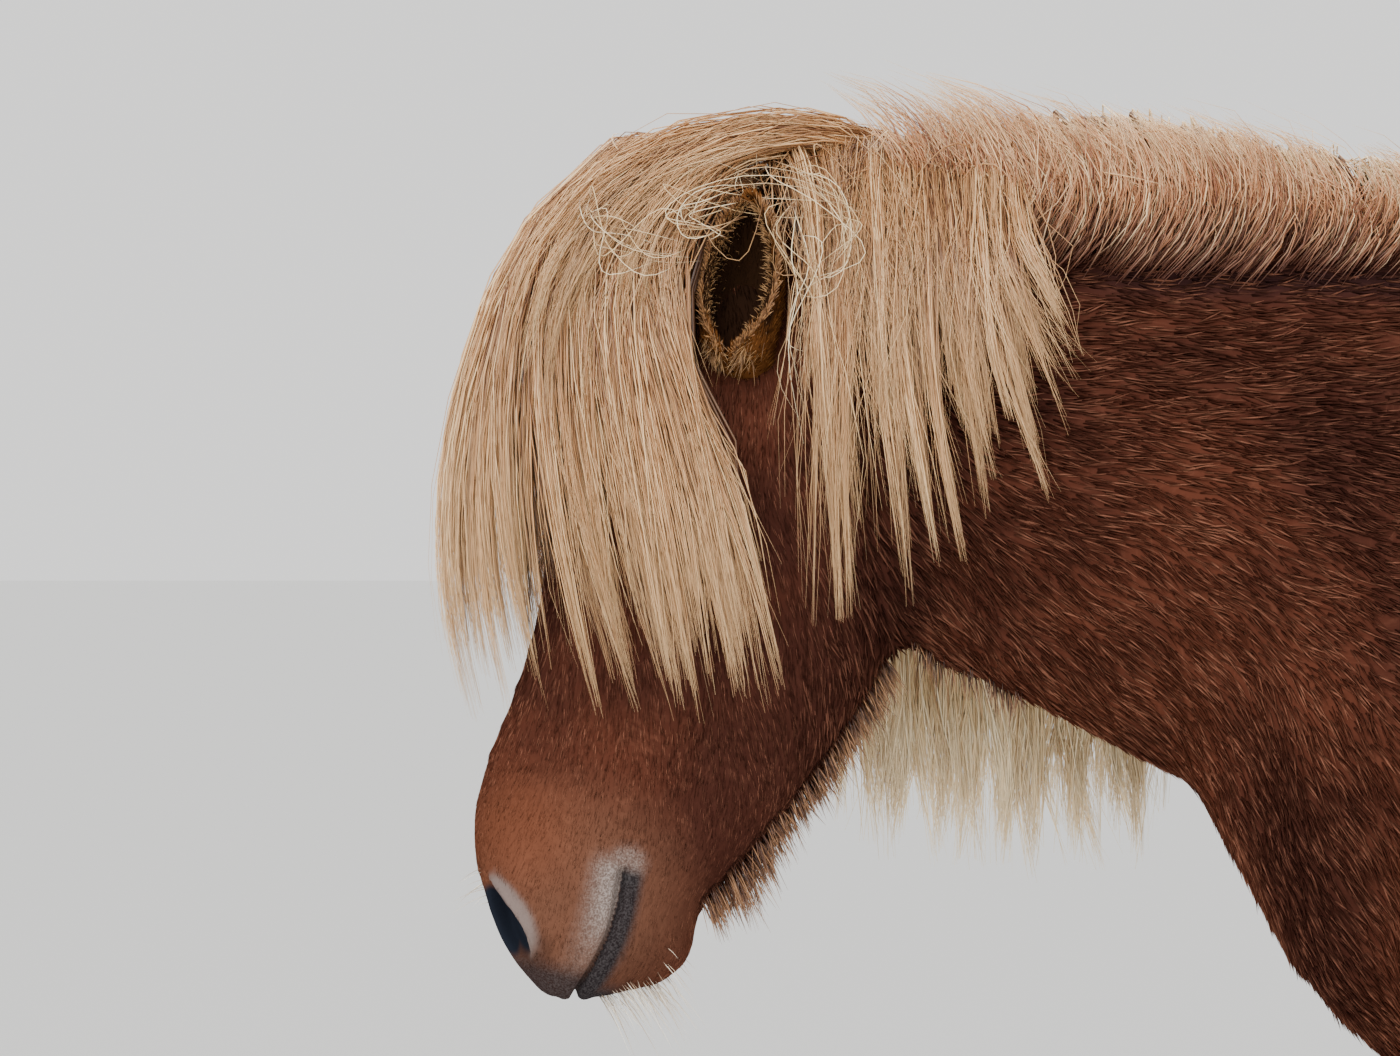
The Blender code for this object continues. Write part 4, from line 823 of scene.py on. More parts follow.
def marks(points, is_ear):
    """The masks at each point, each from 0 to 1."""
    behind, _, along = lip_places(points)
    beyond = np.abs(behind)
    oval_size = nostril_size(points)
    lower = (behind > 0) * soft(along, 0.815, 0.835) * (1 - soft(behind, 0.010, 0.019))
    upper = (behind <= 0) * soft(along, 0.80, 0.835) * (1 - soft(-behind, 0.006, 0.029))
    upper *= 1 - 0.70 * soft(along, 0.87, 0.95)
    tip_band = (behind <= 0) * soft(along, 0.945, 0.975)
    chin_edge = (behind > 0) * soft(along, 0.955, 0.985) * (1 - soft(behind, 0.02, 0.035))
    corner = 0.6 - 0.6 * soft(np.hypot(behind / 0.017, (along - 0.822) * HEAD_LENGTH / 0.017), 0.4, 1.1)
    both = points * (1, 0, 1)
    long, wide, _ = in_nostril(points)
    rim = 1 - soft(np.hypot(long / 0.0310, (wide + 0.0070) / 0.0185), 0.80, 1.08)
    rim *= (oval_size < 8) * (0.45 + 0.55 * soft(-wide, -0.004, 0.004))
    # Painted shade: the inside of the nostril, as far as its opening shows from the side, turns near black
    hollow = (1 - soft(oval_size, 0.80, 1.04)) * (oval_size < 8)
    hollow = np.maximum(hollow, 1 - soft(nostril_from_side(points), 0.80, 1.04))
    red = 1 - soft(np.linalg.norm(both - np.array(RUST), axis=1), 0.012, 0.060)
    tan = 1 - soft(np.linalg.norm(both - np.array(TAN), axis=1), 0.030, 0.105)
    # A painted shadow on the skin behind and below the nostril
    smudge = 1 - soft(np.linalg.norm(both - np.array(NOSTRIL_SHADOW), axis=1), 0.006, 0.017)
    # A band of painted shade along the foot of the crest, where the crest hair rises from the neck
    dark = np.exp(-(((points[:, 2] - 1.315 + 0.02 * (points[:, 0] + 0.5)) / 0.014) ** 2))
    dark *= soft(points[:, 0], -0.66, -0.56) * (1 - soft(points[:, 0], -0.3, -0.1))
    head_part = soft(along, 0.6, 0.7)
    silver = np.clip(np.maximum(upper, corner) * (1 - 0.6 * tip_band), 0, 1)
    return {
        "slate": np.clip(np.maximum.reduce([lower, chin_edge, 0.85 * tip_band]), 0, 1) * head_part,
        "silver": silver * head_part * (beyond < 0.04),
        "rim": rim,
        "hollow": hollow,
        "red": red,
        "tan": tan * head_part,
        "smudge": smudge * head_part,
        "ear": is_ear.astype(float),
        "cup": inner_ear(points, is_ear),
        "deep": dark,
    }


skin_marks = marks(skin_points, skin_is_ear)
print("marks", {key: int((value > 0.5).sum()) for key, value in skin_marks.items()})

# %% [markdown]
# ## Meshes from arrays
# Hundreds of thousands of hairs are too many to make one by one. Arrays of points and triangles are
# filled at once instead, with a shade for each hair and its place along the hair as attributes.

# %% Mesh writer


def add_attributes(mesh, attributes):
    """Store arrays as point attributes of a mesh."""
    for key, values in attributes.items():
        attribute = mesh.attributes.new(key, "FLOAT", "POINT")
        attribute.data.foreach_set("value", values.astype(np.float32))


def mesh_of(name, points, faces, uvs, **attributes):
    """One object from arrays of points and triangles, with an OFBake map and point attributes."""
    mesh = bpy.data.meshes.new(name)
    mesh.vertices.add(len(points))
    mesh.vertices.foreach_set("co", np.ascontiguousarray(points, np.float32).ravel())
    mesh.loops.add(faces.size)
    mesh.loops.foreach_set("vertex_index", faces.astype(np.int32).ravel())
    mesh.polygons.add(len(faces))
    mesh.polygons.foreach_set("loop_start", np.arange(len(faces), dtype=np.int32) * 3)
    mesh.update(calc_edges=True)
    mesh.polygons.foreach_set("use_smooth", np.ones(len(faces), bool))
    layer = mesh.uv_layers.new(name="OFBake")
    layer.uv.foreach_set("vector", uvs[faces.ravel()].astype(np.float32).ravel())
    add_attributes(mesh, attributes)
    mesh.update()
    obj = bpy.data.objects.new(name, mesh)
    bpy.context.scene.collection.objects.link(obj)
    return obj


def unwrap_at(places):
    """The unwrap's coordinates at the skin next to each place."""
    found = np.empty((len(places), 2))
    for i, place in enumerate(places):
        near, _, index, _ = tree.find_nearest(Vector(place))
        corners = skin_points[tri_verts[index]]
        weights = np.linalg.lstsq(
            np.vstack([corners.T, np.ones(3)]), np.append(np.array(near), 1.0), rcond=None
        )[0]
        found[i] = np.clip(weights, 0, 1) @ loop_uvs[tri_loops[index]]
    return found


chance = np.random.default_rng(SEED)
PATCH = 0.003
print("patch of a tuft on the unwrap", PATCH)

# %% [markdown]
# ## Roots of the short coat
# Roots are scattered over the skin's triangles by area. They are closest on the muzzle and the ears,
# where real hair is finest, and farthest apart on the trunk. The nostrils, the slot of the mouth and
# the eyeballs get none. A particle system would do the same, but it doesn't leave Blender.

# %% Scatter the coat
# Tufts to a square metre on the trunk and on the ears, and how many more in the other places
TRUNK_TUFTS, EAR_TUFTS = 17500, 150000
MORE_ON_NECK, MORE_ON_FACE, MORE_ON_MUZZLE, MORE_LOW_DOWN = 52000, 62000, 120000, 11000
corners = skin_points[tri_verts]
area = np.linalg.norm(np.cross(corners[:, 1] - corners[:, 0], corners[:, 2] - corners[:, 0]), axis=1) / 2
middle = corners.mean(axis=1)
middle_down = (middle - np.array(POLL)) @ np.array(HEAD_DOWN) / HEAD_LENGTH
fore = np.clip((-0.30 - middle[:, 0]) / 0.15, 0, 1)
face_part = np.clip((-0.74 - middle[:, 0]) / 0.06, 0, 1) * np.clip(middle_down / 0.1, 0, 1)
muzzle_part = face_part * np.clip((middle_down - 0.62) / 0.2, 0, 1)
low_part = np.clip((0.5 - middle[:, 2]) / 0.3, 0, 1)
density = TRUNK_TUFTS + MORE_ON_NECK * fore + MORE_ON_FACE * face_part
density = density + MORE_ON_MUZZLE * muzzle_part + MORE_LOW_DOWN * low_part
density = np.where(on_ear, EAR_TUFTS, density)
bare = np.minimum(nostril_size(skin_points), nostril_from_side(skin_points))[tri_verts].min(axis=1) < 1.05
eye_at_skin = oval(skin_points, EYE, lid_way, *LID_HALF)
eye_at_skin = np.where((np.abs(skin_points[:, 1]) > 0.05) & ~skin_is_ear, eye_at_skin, 9)
bare |= eye_at_skin[tri_verts].min(axis=1) < 1.1
in_slot = (np.abs(lip_places(skin_points)[0]) < 0.0025) & (lip_places(skin_points)[1] > 0.5)
bare |= in_slot[tri_verts].any(axis=1) | (middle[:, 2] < 0.062)
density = np.where(bare, 0, density)
want = density * area
count = int(want.sum())
pick = np.sort(chance.choice(len(area), count, p=want / want.sum()))
mix = chance.random((count, 2))
mix = np.where(mix.sum(axis=1, keepdims=True) > 1, 1 - mix, mix)
weights = np.column_stack([1 - mix.sum(axis=1), mix])
roots = (corners[pick] * weights[..., None]).sum(axis=1)
ups = (skin_normals[tri_verts[pick]] * weights[..., None]).sum(axis=1)
ups /= np.linalg.norm(ups, axis=1)[:, None]
root_uvs = (loop_uvs[tri_loops[pick]] * weights[..., None]).sum(axis=1)
print("tufts", count)

# %% [markdown]
# ## Tufts
# A coat this size has millions of hairs, so one tuft stands for a few that lie together. It is a slim
# solid with three sides that rises out of the skin at a low angle and ends in a point. Tufts wander a
# little from the lie of the coat, in clumps, and are shortest on the muzzle.

# %% Shape the coat
TUFT_LENGTH = 0.020
TUFT_WIDTH = 0.0034
ROOT_DEPTH = 0.0008
PIECE_TRIANGLES = 190000
root_ear = on_ear[pick]
root_marks = marks(roots, root_ear)
lie = lie_at(roots, ups, root_ear)
side = np.cross(ups, lie)
clump = np.sin(roots @ np.array((61, 47, 83))) * np.sin(roots @ np.array((-37, 59, 71)) + 1.3)
fine_clump = np.sin(roots @ np.array((310, 190, 420))) * np.sin(roots @ np.array((-260, 330, 370)) + 0.7)
turn = chance.normal(0, 0.13, count) + 0.18 * clump + 0.16 * fine_clump
turn *= 1 - 0.5 * face_part[pick] - 0.35 * (1 - fore[pick])
ways = lie * np.cos(turn)[:, None] + side * np.sin(turn)[:, None]
side = np.cross(ups, ways)
on_face, on_muzzle, on_fore, low_leg = (part[pick] for part in (face_part, muzzle_part, fore, low_part))
bare_skin = np.clip(root_marks["slate"] + root_marks["silver"] + root_marks["rim"], 0, 1)
length = TUFT_LENGTH - 0.003 * on_fore - 0.0085 * on_face - 0.0045 * on_muzzle
length = length * (1 - 0.35 * low_leg)
length *= np.where(root_ear, 0.75, 1) * (1 - 0.45 * bare_skin) * chance.uniform(0.7, 1.25, count)
# Tufts at the foot of the crest are short, so that they don't stick out between its hairs
on_crest = np.exp(-((roots[:, 1] / 0.045) ** 2)) * soft(roots[:, 0], -0.80, -0.74) * (roots[:, 2] > 1.28)
length *= 1 - 0.75 * on_crest * (1 - soft(roots[:, 0], -0.28, -0.20))
width = TUFT_WIDTH - 0.0011 * on_fore - 0.0011 * on_face - 0.0004 * on_muzzle
width = width * (1 - 0.3 * bare_skin)
width *= np.where(root_ear, 0.7, 1) * chance.uniform(0.7, 1.2, count)
rise = 0.17 - 0.09 * on_face - 0.03 * on_muzzle + chance.normal(0, 0.05, count) * (1 - 0.7 * on_face)
rise = length * np.clip(rise, 0.03, 0.35)
rise = np.where(root_ear & (root_marks["cup"] < 0.5), length * 0.40, rise)
low = roots - ups * ROOT_DEPTH
tuft_points = np.stack(
    [
        low + side * (width / 2)[:, None],
        low - side * (width / 2)[:, None],
        low + ups * (width * 0.45 + 0.0006)[:, None] - ways * (width * 0.4)[:, None],
        roots + ways * length[:, None] + ups * rise[:, None],
    ],
    axis=1,
)
tuft_faces = np.array([(0, 1, 2), (0, 2, 3), (2, 1, 3), (1, 0, 3)])[:, ::-1]
tuft_uv = np.array([(-0.5, -0.5), (0.5, -0.5), (0, -0.4), (0, 0.5)]) * PATCH
tuft_shade = 0.47 + (chance.beta(2.0, 2.2, count) - 0.47 + 0.16 * fine_clump) * (0.30 + 0.70 * on_fore)
tuft_shade = np.clip(tuft_shade + (0.04 + 0.06 * on_fore) * clump, 0, 1)
COAT_PIECES = 1 + count * 4 // PIECE_TRIANGLES
coat = []
for i, rows in enumerate(np.array_split(np.arange(count), COAT_PIECES)):
    base = (np.arange(len(rows)) * 4)[:, None, None]
    coat.append(
        mesh_of(
            f"coat_{i + 1:02d}",
            tuft_points[rows].reshape(-1, 3),
            (base + tuft_faces[None]).reshape(-1, 3),
            (root_uvs[rows][:, None] + tuft_uv[None]).reshape(-1, 2),
            shade=np.repeat(tuft_shade[rows], 4),
            along=np.tile((0.0, 0.0, 0.0, 1.0), len(rows)),
            # fine weakens the painted shade at the roots of the tufts on the face and the trunk
            fine=np.repeat(np.maximum(on_face, 0.9 - 0.9 * on_fore)[rows], 4),
            **{key: np.repeat(values[rows], 4) for key, values in root_marks.items()},
        )
    )
print("coat pieces", len(coat), "triangles", count * 4)

# %% [markdown]
# ## Long hair
# Mane, forelock and tail are locks, and a lock is many strands that share one path and draw
# together towards the tip. Each run of hair has a few leading lines, from root to tip. A lock takes
# its path between two of them, and its strands spread round that path.

# %% Leading lines of the long hair
FORELOCK = {
    -1.0: [
        (-0.806, -0.012, 1.376), (-0.846, -0.064, 1.378), (-0.876, -0.100, 1.312), (-0.856, -0.115, 1.238),
        (-0.836, -0.119, 1.168), (-0.822, -0.116, 1.098), (-0.810, -0.107, 1.026),
    ],
    -0.6: [
        (-0.815, -0.008, 1.380), (-0.868, -0.052, 1.388), (-0.914, -0.094, 1.322), (-0.915, -0.112, 1.246),
        (-0.903, -0.117, 1.168), (-0.886, -0.112, 1.092), (-0.868, -0.102, 1.016),
    ],
    -0.3: [
        (-0.820, -0.004, 1.382), (-0.882, -0.032, 1.396), (-0.946, -0.062, 1.334), (-0.966, -0.082, 1.252),
        (-0.966, -0.088, 1.168), (-0.954, -0.082, 1.088), (-0.936, -0.070, 1.010),
    ],
    0.0: [
        (-0.824, 0.000, 1.382), (-0.892, -0.006, 1.397), (-0.962, -0.010, 1.338), (-1.000, -0.012, 1.255),
        (-1.018, -0.012, 1.168), (-1.018, -0.008, 1.086), (-1.002, -0.004, 1.010),
    ],
    0.4: [
        (-0.820, 0.004, 1.382), (-0.882, 0.036, 1.394), (-0.944, 0.068, 1.332), (-0.962, 0.088, 1.250),
        (-0.962, 0.092, 1.170), (-0.950, 0.086, 1.095), (-0.934, 0.076, 1.030),
    ],
    1.0: [
        (-0.806, 0.012, 1.376), (-0.848, 0.062, 1.374), (-0.876, 0.100, 1.306), (-0.860, 0.113, 1.238),
        (-0.842, 0.115, 1.175), (-0.830, 0.112, 1.120), (-0.820, 0.106, 1.065),
    ],
}
NEAR_MANE = {
    0.0: [
        (-0.806, -0.002, 1.368), (-0.806, -0.030, 1.398), (-0.790, -0.090, 1.350), (-0.786, -0.113, 1.272),
        (-0.783, -0.118, 1.185), (-0.779, -0.110, 1.080),
    ],
    0.35: [
        (-0.745, -0.002, 1.366), (-0.748, -0.028, 1.397), (-0.750, -0.090, 1.338), (-0.752, -0.110, 1.265),
        (-0.746, -0.115, 1.184), (-0.738, -0.108, 1.084),
    ],
    0.7: [
        (-0.700, -0.002, 1.366), (-0.702, -0.028, 1.397), (-0.702, -0.088, 1.338), (-0.700, -0.106, 1.275),
        (-0.692, -0.112, 1.206), (-0.678, -0.106, 1.126),
    ],
    1.0: [
        (-0.652, -0.002, 1.366), (-0.648, -0.028, 1.394), (-0.646, -0.084, 1.340), (-0.636, -0.100, 1.298),
        (-0.618, -0.108, 1.248), (-0.592, -0.108, 1.190),
    ],
}
FAR_MANE = {
    0.0: [
        (-0.790, 0.002, 1.366), (-0.804, 0.030, 1.396), (-0.798, 0.088, 1.330), (-0.786, 0.108, 1.210),
        (-0.774, 0.098, 1.060), (-0.764, 0.080, 0.912),
    ],
    0.3: [
        (-0.680, 0.002, 1.366), (-0.694, 0.026, 1.410), (-0.690, 0.085, 1.345), (-0.686, 0.110, 1.215),
        (-0.682, 0.104, 1.055), (-0.678, 0.084, 0.908),
    ],
    0.6: [
        (-0.560, 0.002, 1.364), (-0.584, 0.022, 1.424), (-0.578, 0.088, 1.350), (-0.580, 0.116, 1.215),
        (-0.588, 0.116, 1.055), (-0.596, 0.098, 0.905),
    ],
    0.75: [
        (-0.490, 0.002, 1.362), (-0.514, 0.020, 1.412), (-0.508, 0.090, 1.345), (-0.510, 0.124, 1.220),
        (-0.520, 0.128, 1.065), (-0.532, 0.112, 0.926),
    ],
    0.9: [
        (-0.350, 0.002, 1.360), (-0.370, 0.018, 1.386), (-0.362, 0.095, 1.335), (-0.356, 0.136, 1.230),
        (-0.360, 0.158, 1.110), (-0.366, 0.172, 1.000),
    ],
    1.0: [
        (-0.255, 0.002, 1.364), (-0.268, 0.016, 1.378), (-0.254, 0.095, 1.340), (-0.244, 0.132, 1.270),
        (-0.240, 0.154, 1.190), (-0.240, 0.168, 1.120),
    ],
}
NECK_FRINGE = {
    0.0: [(-0.776, 0.085, 1.210), (-0.774, 0.088, 1.080), (-0.770, 0.090, 1.000), (-0.768, 0.078, 0.926)],
    0.35: [(-0.700, 0.085, 1.210), (-0.698, 0.092, 1.080), (-0.698, 0.096, 0.990), (-0.704, 0.084, 0.902)],
    0.7: [(-0.620, 0.085, 1.210), (-0.618, 0.094, 1.080), (-0.616, 0.104, 0.985), (-0.604, 0.094, 0.894)],
    1.0: [(-0.536, 0.085, 1.210), (-0.538, 0.098, 1.080), (-0.542, 0.110, 1.000), (-0.546, 0.104, 0.926)],
}
CREST = {
    -0.25: [
        (-0.730, -0.046, 1.340), (-0.712, -0.054, 1.365), (-0.716, -0.050, 1.396), (-0.744, -0.030, 1.426),
        (-0.784, 0.000, 1.446),
    ],
    0.0: [
        (-0.662, -0.050, 1.322), (-0.640, -0.056, 1.345), (-0.640, -0.052, 1.380), (-0.664, -0.030, 1.416),
        (-0.708, 0.002, 1.442),
    ],
    0.5: [
        (-0.490, -0.056, 1.318), (-0.466, -0.061, 1.340), (-0.464, -0.057, 1.368), (-0.482, -0.036, 1.398),
        (-0.516, 0.000, 1.418),
    ],
    1.0: [
        (-0.292, -0.060, 1.326), (-0.276, -0.064, 1.340), (-0.274, -0.056, 1.354), (-0.286, -0.034, 1.366),
        (-0.308, 0.000, 1.374),
    ],
}
TAIL = {
    -1.0: [
        (0.935, 0.000, 1.170), (0.960, -0.036, 1.130), (0.972, -0.062, 0.960), (0.978, -0.075, 0.720),
        (0.978, -0.064, 0.480), (0.972, -0.028, 0.285),
    ],
    -0.4: [
        (0.940, 0.000, 1.180), (0.992, -0.025, 1.140), (1.010, -0.045, 0.960), (1.014, -0.052, 0.720),
        (1.008, -0.044, 0.450), (0.990, -0.018, 0.235),
    ],
    0.4: [
        (0.940, 0.000, 1.180), (0.992, 0.025, 1.140), (1.010, 0.045, 0.960), (1.014, 0.052, 0.720),
        (1.008, 0.044, 0.450), (0.990, 0.018, 0.235),
    ],
    1.0: [
        (0.935, 0.000, 1.170), (0.960, 0.036, 1.130), (0.972, 0.062, 0.960), (0.978, 0.075, 0.720),
        (0.978, 0.064, 0.480), (0.972, 0.028, 0.285),
    ],
}
POLL_SWEEP = {
    0.0: [
        (-0.796, -0.004, 1.370), (-0.812, -0.032, 1.398), (-0.848, -0.066, 1.392), (-0.886, -0.102, 1.336),
        (-0.884, -0.118, 1.262), (-0.862, -0.121, 1.180),
    ],
    0.35: [
        (-0.766, -0.004, 1.370), (-0.788, -0.034, 1.402), (-0.838, -0.072, 1.399), (-0.896, -0.100, 1.356),
        (-0.926, -0.116, 1.286), (-0.934, -0.120, 1.200),
    ],
    0.7: [
        (-0.736, -0.004, 1.370), (-0.762, -0.030, 1.404), (-0.822, -0.062, 1.406), (-0.896, -0.084, 1.378),
        (-0.950, -0.096, 1.316), (-0.974, -0.100, 1.236),
    ],
    1.0: [
        (-0.706, -0.004, 1.370), (-0.736, -0.020, 1.402), (-0.806, -0.034, 1.409), (-0.890, -0.042, 1.394),
        (-0.956, -0.046, 1.338), (-0.994, -0.048, 1.262),
    ],
}
RUNS = (FORELOCK, NEAR_MANE, FAR_MANE, NECK_FRINGE, CREST, TAIL, POLL_SWEEP)
print("leading lines", sum(len(run) for run in RUNS))

# %% [markdown]
# ## Making strands
# A strand needs a path, room over the skin and the ears, and a body. The paths come first, all at
# once as arrays. Points that lie too deep are lifted to the skin, and each path then gets a ring of
# three points at every step, which is the fewest that still make a closed solid.

# %% Strand maker


def paths_in(run, places, starts, reaches, points):
    """Paths through a run of hair, one for each place, from its start as far as its reach."""
    keys = sorted(run)
    fine = np.array([through(run[key], 8) for key in keys])
    steps = np.linspace(0, 1, fine.shape[1])
    out = np.empty((len(places), points, 3))
    share = np.linspace(0, 1, points)
    for i, (place, start, reach) in enumerate(zip(places, starts, reaches)):
        after = min(max(np.searchsorted(keys, place), 1), len(keys) - 1)
        mix = (place - keys[after - 1]) / (keys[after] - keys[after - 1])
        path = (1 - mix) * fine[after - 1] + mix * fine[after]
        for k in range(3):
            out[i, :, k] = np.interp(start + share * (reach - start), steps, path[:, k])
    return out


def outward(points, axis_x):
    """The way hair faces: away from the neck, face or dock that it lies on."""
    axis = points.copy()
    axis[..., 0] = points[..., 0] if axis_x is None else axis_x
    axis[..., 1] = 0
    axis[..., 2] -= 0.06
    out = points - axis
    return out / np.linalg.norm(out, axis=-1, keepdims=True)


def cleared(paths, rooms):
    """Lift the points of paths out of the skin until each has its room. Roots stay sunk."""
    flat = paths.reshape(-1, 3)
    rooms = np.broadcast_to(rooms, paths.shape[:2]).reshape(-1)
    for i, room in enumerate(rooms):
        if room <= 0:
            continue
        point = Vector(flat[i])
        near, normal, _, distance = body_tree.find_nearest(point)
        if distance < room or (point - near).dot(normal) < 0:
            flat[i] = near + normal * room
    return flat.reshape(paths.shape)


def round_ears(paths, way):
    """Move paths clear of the ears: to the front where way is -1, to the back where it is 1."""
    shares, reaches = np.array(EAR).T[:2]
    for side in (-1, 1):
        root, up, opening = (np.array(v) for v in ear_frame(side))
        away = paths - root
        share = away @ up / EAR_LENGTH
        back = np.array((1.0, 0.0, 0.0)) - up * up[0]
        reach = np.interp(share, (-0.35, *shares, 1.08), (0.0, *reaches, 0.0)) + 0.005
        reach = np.where((share > -0.35) & (share < 1.08), reach, 0)
        outer = away @ opening
        need = np.sqrt(np.maximum(reach**2 - np.minimum(outer, 0) ** 2, 0)) * way
        now = away @ back
        push = np.where(way * now < way * need, need - now, 0)
        push = np.where((need != 0) & (outer > -reach) & (np.abs(now) < 0.06), push, 0)
        paths = paths + back * push[..., None]
    return paths


def hair_mesh(name, paths, radii, shades, axis_x, flat=1.0):
    """Three-sided closed strands along paths, tapered by radii, as one object."""
    count, points, _ = paths.shape
    ahead = np.gradient(paths, axis=1)
    ahead /= np.maximum(np.linalg.norm(ahead, axis=2, keepdims=True), 1e-9)
    out = outward(paths, axis_x)
    out -= ahead * (out * ahead).sum(axis=2, keepdims=True)
    out /= np.maximum(np.linalg.norm(out, axis=2, keepdims=True), 1e-9)
    across = np.cross(ahead, out)
    rings = []
    for angle in (0.5, 7 / 6, 11 / 6):
        angle *= math.pi
        rings.append(
            paths
            + across * (radii * math.cos(angle))[..., None]
            + out * (radii * flat * math.sin(angle))[..., None]
        )
    verts = np.stack(rings, axis=2).reshape(-1, 3)
    tris = []
    for k in range(points - 1):
        for a in range(3):
            b = (a + 1) % 3
            low, high = k * 3, (k + 1) * 3
            tris += [(low + a, low + b, high + b), (low + a, high + b, high + a)]
    last = (points - 1) * 3
    tris += [(2, 1, 0), (last, last + 1, last + 2)]
    faces = (np.arange(count) * points * 3)[:, None, None] + np.array(tris)[None]
    along = np.repeat(np.linspace(0, 1, points), 3)
    patch = np.stack([np.tile((-0.5, 0.0, 0.5), points), along - 0.5], axis=1) * PATCH
    uvs = unwrap_at(paths[:, 0])[:, None] + patch[None]
    return mesh_of(
        name,
        verts,
        faces.reshape(-1, 3),
        uvs.reshape(-1, 2),
        shade=np.repeat(shades, points * 3),
        along=np.tile(along, count),
    )


def hair(
    name, run, axis_x, locks, strands, width, points, spread, reach,
    flat=0.8, wave=1.0, room=0.002, stray=0.0, drift=0.0, ears=0, start=0.0, loft_high=0.015,
):
    """A run of hair: strands gathered in locks that draw together to their tips.

    Spread is the width of a lock and drift how far it wanders. Reach is how much of the run it
    covers, and start how late its strands may begin. Room keeps strands off the skin, and loft_high
    lifts some locks over others. Stray is the share of loose strands. Ears is -1 for hair that passes
    in front of the ears and 1 for hair that passes behind them.
    """
    low, high = min(run), max(run)
    lock_place = low + (high - low) * chance.random(locks)
    lock_lift = chance.random(locks)
    lock_shade = chance.beta(2, 2, locks)
    lock_reach = chance.uniform(*reach, locks)
    lock_drift = chance.normal(0, drift, locks)
    weight = chance.uniform(0.15, 1.0, locks) ** 1.5
    owner = chance.choice(locks, strands, p=weight / weight.sum())
    share = np.linspace(0, 1, points)
    gather = spread * (0.55 + 0.45 * (1 - share) ** 0.8) * (1 - 0.75 * share**3)
    reaches = lock_reach[owner] * chance.uniform(0.86, 1.0, strands)
    paths = paths_in(run, lock_place[owner], chance.uniform(0, start, strands), reaches, points)
    out = outward(paths, axis_x)
    ahead = np.gradient(paths, axis=1)
    ahead /= np.maximum(np.linalg.norm(ahead, axis=2, keepdims=True), 1e-9)
    across = np.cross(ahead, out)
    off = chance.normal(0, 0.5, (strands, 2))
    phase = chance.uniform(0, 2 * math.pi, locks)[owner, None]
    bend = np.sin(phase + 5.0 * share[None]) * share[None] * 0.007 * wave
    fine = chance.uniform(0, 2 * math.pi, (strands, 1))
    loose = np.where(chance.random((strands, 1)) < stray, chance.uniform(2, 5, (strands, 1)), 1.0)
    fine = np.sin(fine + chance.uniform(4, 11, (strands, 1)) * share[None]) * share[None] * 0.0028 * wave
    sway = lock_drift[owner, None] * share[None] ** 1.3
    paths = paths + across * ((off[:, :1] * gather[None]) + bend + sway + fine * loose)[..., None]
    raised = lock_lift[owner, None] * loft_high + chance.normal(0, 0.0022, (strands, 1))
    lift = np.abs(off[:, 1:]) * 0.35 * gather[None] + np.maximum(0, raised) * np.minimum(1, 4 * share)[None]
    lift = lift + (loose - 1) * 0.003 * share[None]
    paths = paths + out * lift[..., None]
    rooms = np.where(share[None] > 0.02, room + lift * 0.5, 0.0)
    paths = cleared(paths, rooms)
    if ears:
        paths = round_ears(paths, ears)
    taper = np.minimum(1, 0.75 + share) * np.clip((1 - share) * 3, 0.12, 1)
    radii = (width * chance.uniform(0.7, 1.3, strands))[:, None] * taper[None] / 2
    radii = np.where(loose > 1, radii * 0.6, radii)
    shades = np.clip(0.45 * lock_shade[owner] + 0.55 * chance.beta(0.75, 0.85, strands), 0, 1)
    return hair_mesh(name, paths, radii, shades, axis_x, flat)


print("points of one leading line", len(through(TAIL[1.0], 8)))
